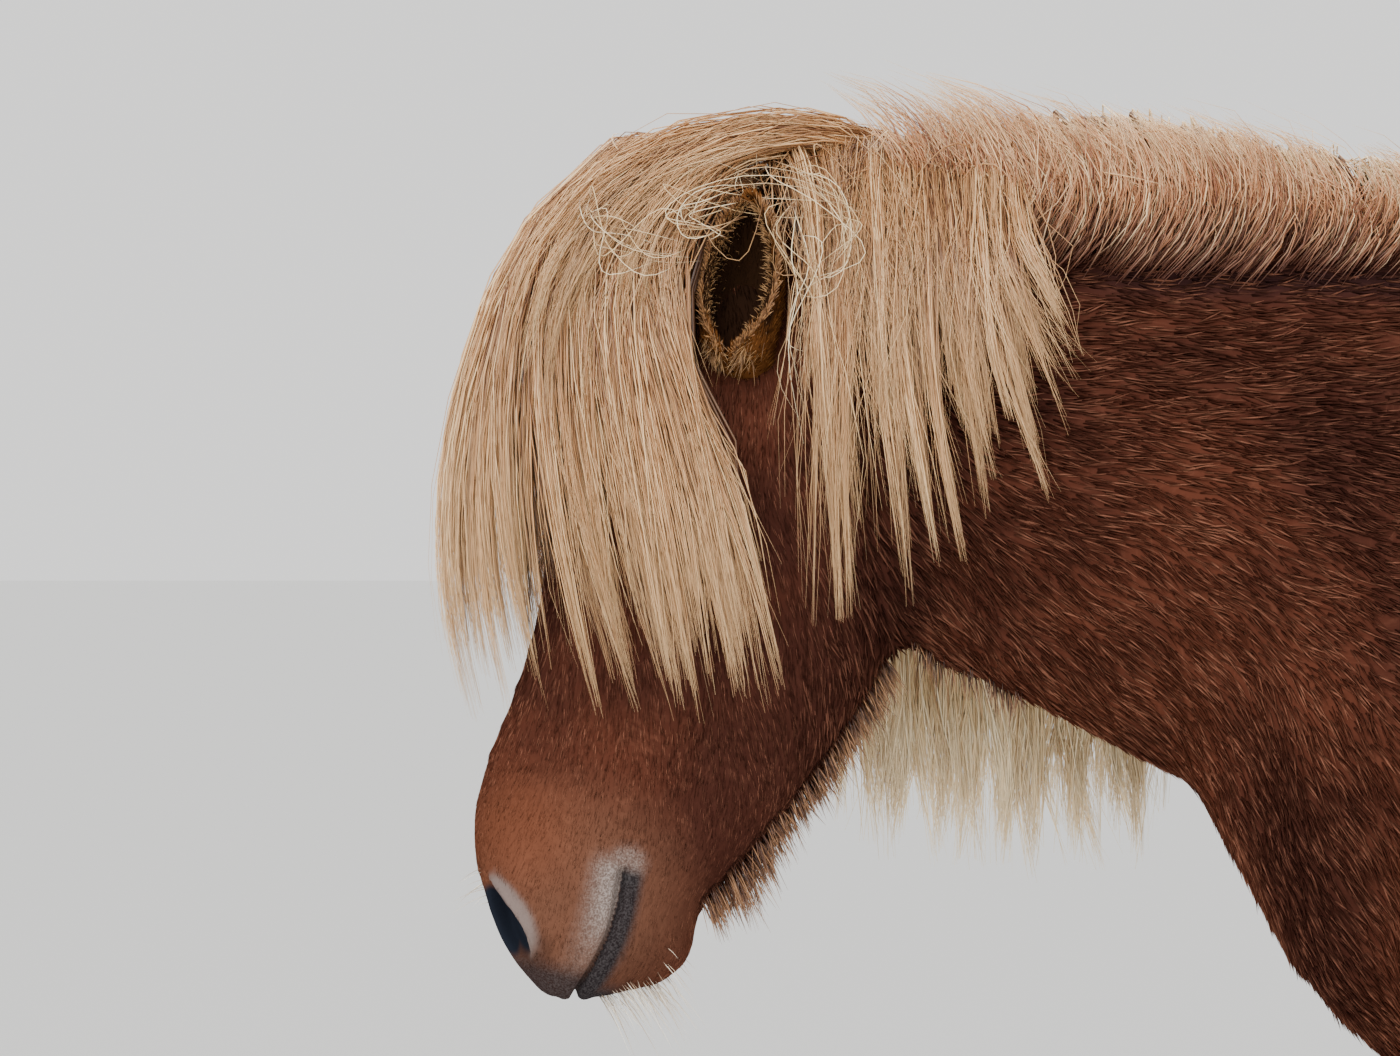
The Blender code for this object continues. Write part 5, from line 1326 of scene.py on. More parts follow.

# %% [markdown]
# ## Growing the long hair
# Mane and forelock grow in layers. A layer of broad strands next to the skin hides it, and its dark
# colour is painted shade inside the hair, which gives the hair its depth. Fine pale strands lie over
# it, and a few loose ones over those. The crest stands up, and the fringe under the neck is what shows
# of the mane on the far side.

# %% Grow the long hair
# Forelock and tail face away from an upright line at this X, the mane from the neck under it
FACE_AXIS = -0.88
DOCK_AXIS = 0.970
long_hair = {
    "forelock_under": hair(
        "forelock_under", FORELOCK, FACE_AXIS, 60, 620, 0.0036, 7, 0.022, (0.72, 0.92),
        flat=0.5, ears=-1, loft_high=0.003,
    ),
    "forelock_1": hair(
        "forelock_1", FORELOCK, FACE_AXIS, 120, 2700, 0.0013, 9, 0.019, (0.82, 1.0),
        room=0.005, stray=0.05, drift=0.007, ears=-1,
    ),
    "forelock_2": hair(
        "forelock_2", FORELOCK, FACE_AXIS, 80, 1700, 0.0011, 9, 0.012, (0.78, 1.02),
        room=0.009, stray=0.16, drift=0.013, ears=-1,
    ),
    "poll_sweep": hair(
        "poll_sweep", POLL_SWEEP, FACE_AXIS, 60, 1350, 0.0013, 8, 0.012, (0.55, 1.0),
        room=0.010, stray=0.14, drift=0.011,
    ),
    "near_mane_under": hair(
        "near_mane_under", NEAR_MANE, None, 34, 340, 0.0028, 7, 0.015, (0.50, 0.72),
        flat=0.5, ears=1, loft_high=0.003,
    ),
    "near_mane": hair(
        "near_mane", NEAR_MANE, None, 62, 2500, 0.0011, 9, 0.0058, (0.66, 1.04),
        room=0.004, stray=0.06, drift=0.010, ears=1,
    ),
    "near_mane_loose": hair(
        "near_mane_loose", NEAR_MANE, None, 90, 800, 0.0009, 8, 0.0120, (0.45, 1.0),
        wave=1.6, room=0.007, stray=0.45, drift=0.016, ears=1,
    ),
    "crest_hair": hair(
        "crest_hair", CREST, None, 300, 4000, 0.0010, 6, 0.030, (0.50, 1.0),
        wave=0.6, stray=0.16, drift=0.010, start=0.30,
    ),
    "far_mane_under": hair(
        "far_mane_under", FAR_MANE, None, 60, 360, 0.0042, 7, 0.018, (0.55, 0.78),
        flat=0.5, start=0.12, loft_high=0.002,
    ),
    "far_mane": hair(
        "far_mane", FAR_MANE, None, 170, 1900, 0.0015, 8, 0.020, (0.84, 1.0),
        room=0.004, stray=0.08, drift=0.013, loft_high=0.010,
    ),
    "neck_fringe": hair(
        "neck_fringe", NECK_FRINGE, None, 80, 1800, 0.0013, 7, 0.013, (0.74, 1.0),
        wave=1.7, room=0.003, stray=0.12, drift=0.016, loft_high=0.003,
    ),
    "tail_under": hair(
        "tail_under", TAIL, DOCK_AXIS, 60, 400, 0.0054, 7, 0.028, (0.70, 0.95), flat=0.5
    ),
    "tail_hair": hair(
        "tail_hair", TAIL, DOCK_AXIS, 110, 1800, 0.0020, 9, 0.028, (0.78, 1.0),
        stray=0.06, drift=0.010,
    ),
}
for name, obj in long_hair.items():
    print(name, len(obj.data.polygons))

# %% [markdown]
# ## Fringes and whiskers
# Short hair also stands in rows or patches: under the jaw, behind each fetlock, in and round the ears,
# at the chin and on the nose. These hairs are too loose for locks. A patch takes the root of each, its
# direction, its length and how far it droops.

# %% Patches of loose hair


def patch(name, places, ways, lengths, width, droop, points=6, scatter=0.25, curl=0.0):
    """Loose hairs from root places, each along its own way, drooping as it goes.

    Scatter is how far the ways differ by chance, and curl how far a hair bows to one side.
    """
    places = np.asarray(places, float)
    count = len(places)
    ways = np.asarray(ways, float) + chance.normal(0, scatter, (count, 3))
    ways /= np.linalg.norm(ways, axis=1)[:, None]
    share = np.linspace(0, 1, points)
    size = (np.asarray(lengths) * chance.uniform(0.55, 1.15, count))[:, None, None]
    paths = places[:, None] + ways[:, None] * size * share[None, :, None]
    paths[..., 2] -= droop * size[..., 0] * share[None] ** 2
    if curl:
        turn = chance.normal(0, 1, (count, 3))
        turn /= np.linalg.norm(turn, axis=1)[:, None]
        paths += turn[:, None] * size * curl * np.sin(share * math.pi)[None, :, None]
    taper = np.clip((1 - share) * 2.5, 0.10, 1)
    radii = (width * chance.uniform(0.7, 1.3, count))[:, None] * taper[None] / 2
    return hair_mesh(name, paths, radii, chance.random(count), None, 1.0)


def on_skin(place, way):
    """The skin's point found from a place along a way, and the normal there."""
    hit, normal, _, _ = tree.ray_cast(Vector(place), Vector(way).normalized())
    if hit is None:
        hit, normal, _, _ = tree.find_nearest(Vector(place))
    return np.array(hit), np.array(normal)


print("skin under the chin at", on_skin(in_head(1.25, -0.08), -HEAD_DOWN)[0].round(3))

# %% [markdown]
# ## Jaw fringe
# Longer hair hangs from the edge of the lower jaw and is longest behind the chin. Its roots are found
# with rays from below.

# %% Jaw fringe
JAW_HAIRS = 2500
jaw_roots = []
jaw_ways = []
jaw_lengths = []
for _ in range(JAW_HAIRS):
    along = chance.uniform(0.42, 0.845)
    out = float(np.clip(chance.normal(0, 0.018), -0.030, 0.030))
    start = in_head(along, -0.45, out)
    hit, normal = on_skin(start, HEAD_FRONT)
    jaw_roots.append(hit)
    jaw_ways.append(np.array((0.28, 0.0, -0.75)) + 0.5 * normal)
    longest = 0.012 * math.exp(-(((along - 0.79) / 0.04) ** 2))
    jaw_lengths.append(0.013 + longest + 0.012 * chance.random() ** 3)
jaw_hair = patch("jaw_fringe", jaw_roots, jaw_ways, jaw_lengths, 0.0008, 0.25, 4, 0.20)
print("jaw fringe", len(jaw_roots))

# %% [markdown]
# ## Fetlock hair
# Behind each fetlock hangs a small tuft that leads rain away from the heel. Its roots lie on the rear
# half of a band round the joint.

# %% Fetlock hair
FETLOCK_HAIRS = 240
feather_roots = []
feather_ways = []
for middle_x, spread in ((-0.276, FORE_SPREAD), (0.872, HIND_SPREAD)):
    for side in (-1, 1):
        for _ in range(FETLOCK_HAIRS):
            angle = chance.uniform(-1.25, 1.25)
            out_way = Vector((math.cos(angle), math.sin(angle), 0))
            height = FETLOCK + chance.uniform(-0.035, 0.020)
            start = Vector((middle_x, side * spread, height)) + out_way * 0.12
            hit, normal = on_skin(start, -out_way)
            feather_roots.append(hit)
            feather_ways.append(np.array((0.30, 0.18 * math.sin(angle), -0.85)) + 0.25 * normal)
feather_lengths = np.full(len(feather_roots), 0.050)
feathers = patch("fetlock_hair", feather_roots, feather_ways, feather_lengths, 0.0018, 0.15, 4, 0.10)
print("fetlock hairs", len(feather_roots))

# %% [markdown]
# ## Whiskers
# Stiff pale hairs stand out from the chin and the nose, far apart, with the longest under the chin.

# %% Whiskers
CHIN_WHISKERS = 130
NOSE_WHISKERS = 80
whisker_roots = []
whisker_ways = []
whisker_lengths = []
for _ in range(CHIN_WHISKERS):
    start = in_head(1.25, chance.uniform(-0.125, -0.045), chance.uniform(-0.05, 0.05))
    hit, normal = on_skin(start, -HEAD_DOWN)
    whisker_roots.append(hit)
    whisker_ways.append(np.array((0.62, 0.0, -0.5)) + 0.35 * normal)
    whisker_lengths.append(chance.uniform(0.010, 0.046))
for _ in range(NOSE_WHISKERS):
    side = 1 if chance.random() < 0.5 else -1
    start = in_head(chance.uniform(0.87, 0.97), 0.35, side * chance.uniform(0.01, 0.06))
    hit, normal = on_skin(start, -HEAD_FRONT)
    if nostril_size(hit[None])[0] < 1.5:
        continue
    whisker_roots.append(hit)
    whisker_ways.append(np.array((-0.6, 0.0, -0.25)) + 0.5 * normal)
    whisker_lengths.append(chance.uniform(0.008, 0.024))
whiskers = patch("whiskers", whisker_roots, whisker_ways, whisker_lengths, 0.00045, 0.25, 5, 0.14)
print("whiskers", len(whisker_roots))

# %% [markdown]
# ## Ear hair
# Fur lines the edges inside an ear's cup and leans out over its opening, and short fur stands on the
# rim. Both start from the same rows that shaped the ear, so they follow its edge closely.

# %% Ear hair
EAR_HAIRS = 2500
ear_roots = []
ear_ways = []
ear_lengths = []
rim_roots = []
rim_ways = []
ear_shares, ear_reaches, ear_closes, ear_walls = np.array(EAR).T
for side in (-1, 1):
    root, up, opening = ear_frame(side)
    across = up.cross(opening)
    for k in range(EAR_HAIRS):
        share = chance.uniform(0.04, 0.96)
        reach = float(np.interp(share, ear_shares, ear_reaches))
        half = math.radians(float(np.interp(share, ear_shares, ear_closes)))
        wall = float(np.interp(share, ear_shares, ear_walls))
        edge = 1 if chance.random() < 0.5 else -1
        place = root + up * EAR_LENGTH * share - opening * float(ear_inward(share))
        if k % 2:
            angle = math.pi + edge * (half - 0.10)
            way = opening * math.cos(angle) + across * math.sin(angle)
            rim_roots.append(np.array(place + way * (reach - 0.4 * wall)))
            rim_ways.append(np.array(way * 0.35 + opening * 0.25 + up * 0.9))
            continue
        angle = math.pi + edge * max(0.1, half - 0.12 - abs(chance.normal(0, 0.45)))
        way = opening * math.cos(angle) + across * math.sin(angle)
        ear_roots.append(np.array(place + way * (reach - wall - 0.0004)))
        ear_ways.append(np.array(opening * 0.75 - way * 0.30 + up * (0.55 if share > 0.2 else -0.3)))
        ear_lengths.append(0.013 if share > 0.2 else 0.017)
ear_fuzz = patch("ear_fuzz", ear_roots, ear_ways, ear_lengths, 0.0006, 0.1, 4, 0.22)
ear_rim = patch("ear_rim", rim_roots, rim_ways, np.full(len(rim_roots), 0.0090), 0.0011, 0.0, 4, 0.22)
print("ear hairs", len(ear_roots), "rim hairs", len(rim_roots))

# %% [markdown]
# ## Strays and loops
# Wind lifts single hairs off the poll, and a few curl into loops round the ear. The strays are a patch
# with long bent hairs. The loops are drawn one by one as they show from the side, in steps to the
# right and down, each with its place sideways in metres. About a dozen hairs follow each.

# %% Strays and loops
STRAYS = 210
STRAY_LENGTH = 0.085
stray_roots = np.column_stack(
    [chance.uniform(-0.90, -0.58, STRAYS), chance.normal(-0.012, 0.020, STRAYS), np.full(STRAYS, 1.385)]
)
stray_ways = np.column_stack(
    [
        chance.normal(-0.3, 0.8, STRAYS),
        chance.normal(-0.5, 0.5, STRAYS),
        chance.uniform(0.05, 0.75, STRAYS),
    ]
)
stray_lengths = np.full(STRAYS, STRAY_LENGTH)
strays = patch("poll_strays", stray_roots, stray_ways, stray_lengths, 0.0010, 0.55, 8, 0.1, 0.24)

STEP = 0.000676
STEPS_TO_MIDDLE = 1967
TOP_HEIGHT = 1.505
LOOP_STRANDS = 13
LOOP_POINTS = 14
LOOP_RADIUS = 0.00034
LOOPS = (
    ((770, 168, -0.100), (804, 184, -0.118), (836, 204, -0.128), (846, 236, -0.131), (836, 263, -0.130),
     (808, 281, -0.127), (790, 296, -0.122)),
    ((596, 196, -0.104), (590, 218, -0.112), (606, 238, -0.118), (646, 251, -0.121), (700, 263, -0.117)),
    ((750, 214, -0.112), (716, 238, -0.124), (688, 236, -0.126), (680, 220, -0.122), (704, 204, -0.112),
     (760, 196, -0.104), (830, 208, -0.108), (900, 246, -0.118)),
    ((736, 170, -0.070), (722, 152, -0.050), (738, 142, -0.040), (762, 160, -0.060), (752, 192, -0.085)),
    ((690, 176, -0.060), (716, 158, -0.050), (742, 176, -0.070), (730, 204, -0.090)),
    ((800, 200, -0.112), (788, 236, -0.124), (802, 300, -0.126), (798, 380, -0.122), (812, 470, -0.118)),
)
loop_paths = []
for line in LOOPS:
    line = [((right - STEPS_TO_MIDDLE) * STEP, out, TOP_HEIGHT - down * STEP) for right, down, out in line]
    fine = through(line, 8)
    for _ in range(LOOP_STRANDS):
        off = chance.normal(0, 0.0040, 3)
        bow = chance.normal(0, 0.0085, 3)
        share = np.linspace(0, 1, LOOP_POINTS)
        start = chance.uniform(0, 0.35)
        at = (start + (chance.uniform(0.62, 1.0) - start) * share) * (len(fine) - 1)
        path = np.column_stack([np.interp(at, range(len(fine)), fine[:, k]) for k in range(3)])
        loop_paths.append(path + off + bow * np.sin(share * math.pi * 2)[:, None])
loop_paths = np.array(loop_paths)
loop_radii = np.full(loop_paths.shape[:2], LOOP_RADIUS)
loop_radii = loop_radii * np.clip(np.linspace(1, 0, LOOP_POINTS) * 4, 0.15, 1)
loops = hair_mesh("poll_loops", loop_paths, loop_radii, chance.random(len(loop_paths)), -0.8)
print("strays", len(stray_roots), "hairs in loops", len(loop_paths))

# %% [markdown]
# ## Eyes
# Most of an eyeball hides in the head. The part between the lids shows a dark brown iris with a wide
# level pupil under a clear bulge. One sphere, raised a little over the iris, carries both.

# %% Model the eyes
eyes = {}
for side, name in ((-1, "left"), (1, "right")):
    bpy.ops.object.select_all(action="DESELECT")
    bpy.ops.mesh.primitive_uv_sphere_add(segments=48, ring_count=32, radius=EYE_RADIUS, location=(0, 0, 0))
    ball = bpy.context.object
    ball.name = f"eyeball_{name}"
    bpy.ops.object.mode_set(mode="EDIT")
    bpy.ops.mesh.select_all(action="SELECT")
    bpy.ops.transform.rotate(value=math.pi / 2, orient_axis="X", center_override=(0, 0, 0))
    bpy.ops.transform.translate(value=(EYE.x, EYE.y * side, EYE.z))
    bpy.ops.object.mode_set(mode="OBJECT")
    for vert in ball.data.vertices:
        outward_share = (vert.co.y * side - EYE.y) / EYE_RADIUS
        vert.co.y += side * 0.0012 * max(0.0, (outward_share - 0.75) / 0.25)
    for polygon in ball.data.polygons:
        polygon.use_smooth = True
    eyes[name] = ball
print("eyes", {name: len(ball.data.polygons) for name, ball in eyes.items()})

# %% [markdown]
# ## Hooves
# The solids' hooves have the right size but few faces. Each copy is merged, turned from triangles to
# quads, given a firm edge at the sole and subdivided, so that the wall turns smoothly.

# %% Model the hooves
hooves = {}
for name in sorted(frame["nodes"]):
    if not name.startswith("hoof_"):
        continue
    bpy.ops.object.select_all(action="DESELECT")
    source = frame["nodes"][name]
    hoof = source.copy()
    hoof.data = source.data.copy()
    hoof.parent = None
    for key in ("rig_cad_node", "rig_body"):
        if key in hoof:
            del hoof[key]
    hoof.name = name + "_horn"
    bpy.context.scene.collection.objects.link(hoof)
    hoof.select_set(True)
    bpy.context.view_layer.objects.active = hoof
    bpy.ops.object.mode_set(mode="EDIT")
    bpy.ops.mesh.select_all(action="SELECT")
    bpy.ops.mesh.remove_doubles(threshold=0.00005)
    bpy.ops.mesh.tris_convert_to_quads(face_threshold=math.radians(60), shape_threshold=math.radians(60))
    bpy.ops.object.mode_set(mode="OBJECT")
    applied(hoof, "BEVEL", width=0.0015, segments=2, limit_method="ANGLE", angle_limit=math.radians(50))
    applied(hoof, "SUBSURF", levels=2, render_levels=2)
    for polygon in hoof.data.polygons:
        polygon.use_smooth = True
    hooves[name] = hoof
print("hooves", {name: len(hoof.data.polygons) for name, hoof in hooves.items()})

# %% [markdown]
# ## Colours
# The horse is a liver chestnut: a deep reddish brown coat, redder on the muzzle, with slate lips and
# pale rims to the nostrils, and flaxen hair. Helpers place and link nodes, so that each material
# below reads as a recipe.

# %% Node helpers


def new_material(name):
    """An empty material with its node tree and its surface node."""
    made = bpy.data.materials.new(name)
    made.use_nodes = True
    return made, made.node_tree, made.node_tree.nodes["Principled BSDF"]


def put(nodes, socket, value):
    """Link or set one input."""
    if isinstance(value, bpy.types.NodeSocket):
        nodes.links.new(value, socket)
    elif isinstance(value, tuple) and socket.type == "RGBA":
        socket.default_value = (*value, 1.0)
    else:
        socket.default_value = value


def node(nodes, kind, **inputs):
    """A node with some of its inputs set or linked. An underscore stands for a space."""
    made = nodes.nodes.new(kind)
    for key, value in inputs.items():
        put(nodes, made.inputs[key.replace("_", " ")], value)
    return made


def maths(nodes, operation, *values):
    """The result of a Math node."""
    made = nodes.nodes.new("ShaderNodeMath")
    made.operation = operation
    for socket, value in zip(made.inputs, values):
        put(nodes, socket, value)
    return made.outputs[0]


def mixed(nodes, factor, first, second):
    """The colour of a Mix node."""
    made = nodes.nodes.new("ShaderNodeMix")
    made.data_type = "RGBA"
    for index, value in ((0, factor), (6, first), (7, second)):
        put(nodes, made.inputs[index], value)
    return made.outputs[2]


def ranged(nodes, value, low, high, to_low=0.0, to_high=1.0):
    """A value mapped smoothly from one range to another, clamped."""
    ends = {"From_Min": low, "From_Max": high, "To_Min": to_low, "To_Max": to_high}
    made = node(nodes, "ShaderNodeMapRange", Value=value, **ends)
    made.interpolation_type = "SMOOTHSTEP"
    return made.outputs["Result"]


def noise(nodes, place, scale, detail=4.0, rough=0.55):
    """The grey of a noise."""
    made = node(nodes, "ShaderNodeTexNoise", Vector=place, Scale=scale, Detail=detail, Roughness=rough)
    return made.outputs["Fac"]


def attribute(nodes, name, output="Fac"):
    """A point attribute of the mesh."""
    made = nodes.nodes.new("ShaderNodeAttribute")
    made.attribute_name = name
    return made.outputs[output]


def object_place(nodes):
    """The place of a point on the object."""
    return nodes.nodes.new("ShaderNodeTexCoord").outputs["Object"]


# %% [markdown]
# ## The markings
# The colours change from place to place without an edge, and hair and skin have to change together.
# One node group mixes them from the masks, and the skin and the coat both use it, each with its own
# shade.

# %% The markings group
MARKS = ("slate", "silver", "rim", "hollow", "red", "tan", "smudge", "ear", "cup", "deep")
markings = bpy.data.node_groups.new("chestnut_markings", "ShaderNodeTree")
for name in ("Shade", *MARKS):
    markings.interface.new_socket(name, in_out="INPUT", socket_type="NodeSocketFloat")
markings.interface.new_socket("Color", in_out="OUTPUT", socket_type="NodeSocketColor")
given = markings.nodes.new("NodeGroupInput").outputs
group_out = markings.nodes.new("NodeGroupOutput")
place = object_place(markings)
patches = ranged(markings, noise(markings, place, 6.0, 5.0), 0.36, 0.66)
tone = mixed(markings, patches, (0.034, 0.0115, 0.0080), (0.072, 0.0225, 0.0130))
# Painted shade along the foot of the crest
tone = mixed(markings, maths(markings, "MULTIPLY", given["deep"], 0.75), tone, (0.022, 0.011, 0.012))
tan = mixed(markings, patches, (0.158, 0.063, 0.040), (0.235, 0.094, 0.056))
tone = mixed(markings, ranged(markings, given["Shade"], 0.35, 1.0), tone, tan)
fawn = mixed(markings, given["Shade"], (0.078, 0.033, 0.0200), (0.165, 0.078, 0.047))
tone = mixed(markings, maths(markings, "MULTIPLY", given["tan"], 0.75), tone, fawn)
russet = mixed(markings, given["Shade"], (0.078, 0.024, 0.0125), (0.170, 0.060, 0.031))
tone = mixed(markings, maths(markings, "MULTIPLY", given["red"], 0.65), tone, russet)
# Painted shadow behind and below the nostril
tone = mixed(markings, maths(markings, "MULTIPLY", given["smudge"], 0.4), tone, (0.020, 0.012, 0.010))
ear_tone = mixed(markings, given["Shade"], (0.050, 0.017, 0.0055), (0.170, 0.066, 0.018))
tone = mixed(markings, given["ear"], tone, ear_tone)
tone = mixed(markings, maths(markings, "MULTIPLY", given["cup"], 0.94), tone, (0.016, 0.0080, 0.0045))
fleck = ranged(markings, noise(markings, place, 760.0, 3.0), 0.38, 0.66)
silver = mixed(markings, fleck, (0.110, 0.086, 0.076), (0.238, 0.202, 0.184))
tone = mixed(markings, maths(markings, "MULTIPLY", given["silver"], 0.90), tone, silver)
slate = mixed(markings, fleck, (0.007, 0.008, 0.010), (0.034, 0.033, 0.035))
tone = mixed(markings, maths(markings, "MULTIPLY", given["slate"], 0.92), tone, slate)
tone = mixed(markings, maths(markings, "MULTIPLY", given["rim"], 0.88), tone, (0.150, 0.117, 0.106))
# Painted shade in the hollow of the nostril
tone = mixed(markings, given["hollow"], tone, (0.010, 0.012, 0.018))
markings.links.new(tone, group_out.inputs["Color"])
print("markings nodes", len(markings.nodes))

# %% [markdown]
# ## Skin and coat
# The coat's colour brightens along each tuft: the dark root is painted shade between the tufts, and the
# bright tip painted light on the outer hair. The skin under it carries streaks that run with the hair,
# from noise stretched along the lie of the coat. Gloss on single tufts looks like frost where they are
# seen at a low angle, so both are matt, and this painted light and shade gives the coat its depth.

# %% Skin and coat materials


def marked(nodes, shade):
    """The markings' colour in a material, for a shade."""
    made = nodes.nodes.new("ShaderNodeGroup")
    made.node_tree = markings
    put(nodes, made.inputs["Shade"], shade)
    for name in MARKS:
        put(nodes, made.inputs[name], attribute(nodes, name))
    return made.outputs["Color"]


skin_material, nodes, surface = new_material("skin_hair")
streaks = noise(nodes, attribute(nodes, "flow", "Vector"), 1.0, 5.0, 0.6)
put(nodes, surface.inputs["Base Color"], marked(nodes, maths(nodes, "MULTIPLY", streaks, 0.75)))
wrinkles = noise(nodes, object_place(nodes), 260.0, 3.0)
height = maths(nodes, "ADD", streaks, maths(nodes, "MULTIPLY", wrinkles, 0.35))
relief = node(nodes, "ShaderNodeBump", Strength=0.20, Distance=0.0012, Height=height)
put(nodes, surface.inputs["Normal"], relief.outputs[0])
surface.inputs["Roughness"].default_value = 0.55
surface.inputs["Specular IOR Level"].default_value = 0.0

coat_material, nodes, surface = new_material("coat_hair")
coat_colour = marked(nodes, attribute(nodes, "shade"))
# Each tuft is painted dark at its root, as shade between the tufts, and bright at its tip, as light on the
# outer hair
root_shade_value = maths(nodes, "ADD", 0.48, maths(nodes, "MULTIPLY", attribute(nodes, "fine"), 0.37))
root_shade_tip_light = ranged(nodes, attribute(nodes, "along"), 0.0, 1.0, root_shade_value, 1.32)
brightened = node(nodes, "ShaderNodeHueSaturation", Color=coat_colour, Value=root_shade_tip_light)
put(nodes, surface.inputs["Base Color"], brightened.outputs[0])
surface.inputs["Roughness"].default_value = 0.75
surface.inputs["Specular IOR Level"].default_value = 0.0

flow_way = lie_at(skin_points, skin_normals, skin_is_ear)
flow_side = np.cross(skin_normals, flow_way)
centre = np.array((-0.7, 0.0, 1.1))
from_centre = skin_points - centre
flow_along = (from_centre * flow_way).sum(axis=1) * 60
flow_across = (from_centre * flow_side).sum(axis=1) * 420
flow = np.stack([flow_along, flow_across, skin_points[:, 1] * 20], axis=1)
flow_attribute = skin.data.attributes.new("flow", "FLOAT_VECTOR", "POINT")
flow_attribute.data.foreach_set("vector", flow.astype(np.float32).ravel())
add_attributes(skin.data, skin_marks)
print("coat materials ready")

# %% [markdown]
# ## Flaxen hair
# A strand is brown in the shade of its root and pale at its tip. No two have the same gold, and the
# crest keeps a copper tone that the long locks have bleached out.

# %% Hair materials


def hair_material(name, dark, gold, pale, root, root_end, tip_pale):
    """A hair material from four colours, shaded by strand and along it."""
    made, nodes, surface = new_material(name)
    shade = attribute(nodes, "shade")
    along = attribute(nodes, "along")
    tone = mixed(nodes, ranged(nodes, shade, 0.10, 0.48), dark, gold)
    tone = mixed(nodes, ranged(nodes, shade, 0.48, 0.92), tone, pale)
    tone = mixed(nodes, maths(nodes, "MULTIPLY", ranged(nodes, along, 0.5, 1.0), tip_pale), tone, pale)
    tone = mixed(nodes, ranged(nodes, along, 0.0, root_end, 1.0, 0.0), tone, root)
    put(nodes, surface.inputs["Base Color"], tone)
    surface.inputs["Roughness"].default_value = 0.38
    surface.inputs["Specular IOR Level"].default_value = 0.45
    return made


flaxen = hair_material(
    "flaxen_hair",
    dark=(0.135, 0.052, 0.020),
    gold=(0.44, 0.215, 0.085),
    pale=(0.82, 0.56, 0.300),
    root=(0.26, 0.125, 0.066),
    root_end=0.30,
    tip_pale=0.40,
)
# The layer next to the skin is coloured dark as painted shade inside the hair
under = hair_material(
    "painted_shade_under_hair",
    dark=(0.040, 0.016, 0.008),
    gold=(0.130, 0.058, 0.025),
    pale=(0.26, 0.135, 0.062),
    root=(0.06, 0.026, 0.015),
    root_end=0.25,
    tip_pale=0.3,
)
copper = hair_material(
    "crest_copper",
    dark=(0.20, 0.062, 0.024),
    gold=(0.46, 0.195, 0.080),
    pale=(0.86, 0.60, 0.340),
    root=(0.085, 0.031, 0.020),
    root_end=0.50,
    tip_pale=0.80,
)
fringe_hair = hair_material(
    "fringe_hair",
    dark=(0.035, 0.012, 0.006),
    gold=(0.090, 0.034, 0.014),
    pale=(0.30, 0.150, 0.068),
    root=(0.035, 0.012, 0.007),
    root_end=0.55,
    tip_pale=0.5,
)
whisker_hair = hair_material(
    "whisker_hair",
    dark=(0.38, 0.28, 0.19),
    gold=(0.60, 0.50, 0.37),
    pale=(0.82, 0.75, 0.62),
    root=(0.30, 0.21, 0.15),
    root_end=0.2,
    tip_pale=0.5,
)
fuzz_hair = hair_material(
    "fuzz_hair",
    dark=(0.070, 0.030, 0.011),
    gold=(0.19, 0.092, 0.036),
    pale=(0.44, 0.255, 0.110),
    root=(0.035, 0.016, 0.009),
    root_end=0.4,
    tip_pale=0.5,
)
ear_fur = hair_material(
    "ear_fur",
    dark=(0.060, 0.022, 0.0075),
    gold=(0.155, 0.064, 0.022),
    pale=(0.33, 0.165, 0.062),
    root=(0.05, 0.018, 0.007),
    root_end=0.4,
    tip_pale=0.5,
)
neck_cream = hair_material(
    "neck_cream",
    dark=(0.34, 0.190, 0.080),
    gold=(0.68, 0.47, 0.240),
    pale=(0.95, 0.80, 0.53),
    root=(0.20, 0.10, 0.05),
    root_end=0.15,
    tip_pale=0.5,
)
HAIR_LOOKS = {
    "forelock_1": flaxen,
    "forelock_2": flaxen,
    "poll_sweep": flaxen,
    "near_mane": flaxen,
    "tail_hair": flaxen,
    "crest_hair": copper,
    "far_mane": neck_cream,
    "neck_fringe": neck_cream,
    "near_mane_loose": flaxen,
}
for name, obj in long_hair.items():
    obj.data.materials.append(HAIR_LOOKS.get(name, under))
for obj, look in (
    (skin, skin_material),
    (jaw_hair, fringe_hair),
    (feathers, fringe_hair),
    (whiskers, whisker_hair),
    (ear_fuzz, fuzz_hair),
    (ear_rim, ear_fur),
    (strays, flaxen),
    (loops, neck_cream),
    *((obj, coat_material) for obj in coat),
):
    obj.data.materials.clear()
    obj.data.materials.append(look)
print("hair materials ready")

# %% [markdown]
# ## Eyes and horn
# The eye is wet, so its roughness is near nothing. Hoof horn is satin, with fine rings that run
# level as it grows and darker streaks down the wall.

# %% Eye and hoof materials
eye_material, nodes, surface = new_material("wet_eye")
parts = node(nodes, "ShaderNodeSeparateXYZ", Vector=object_place(nodes)).outputs
level = maths(nodes, "SUBTRACT", parts["X"], float(EYE.x))
upright = maths(nodes, "SUBTRACT", parts["Z"], float(EYE.z))
squares = [maths(nodes, "MULTIPLY", reach, reach) for reach in (level, upright)]
iris = maths(nodes, "SQRT", maths(nodes, "ADD", *squares))
stretched = [maths(nodes, "MULTIPLY", square, by) for square, by in zip(squares, (0.55, 2.6))]
pupil = maths(nodes, "SQRT", maths(nodes, "ADD", *stretched))
rays = noise(nodes, object_place(nodes), 900.0, 3.0)
tone = mixed(nodes, rays, (0.030, 0.012, 0.006), (0.090, 0.038, 0.016))
tone = mixed(nodes, ranged(nodes, pupil, 0.0058, 0.0066, 1.0, 0.0), tone, (0.002, 0.003, 0.006))
tone = mixed(nodes, ranged(nodes, iris, 0.0128, 0.0142), tone, (0.10, 0.060, 0.045))
put(nodes, surface.inputs["Base Color"], tone)
surface.inputs["Roughness"].default_value = 0.04
surface.inputs["Coat Weight"].default_value = 1.0
for ball in eyes.values():
    ball.data.materials.append(eye_material)

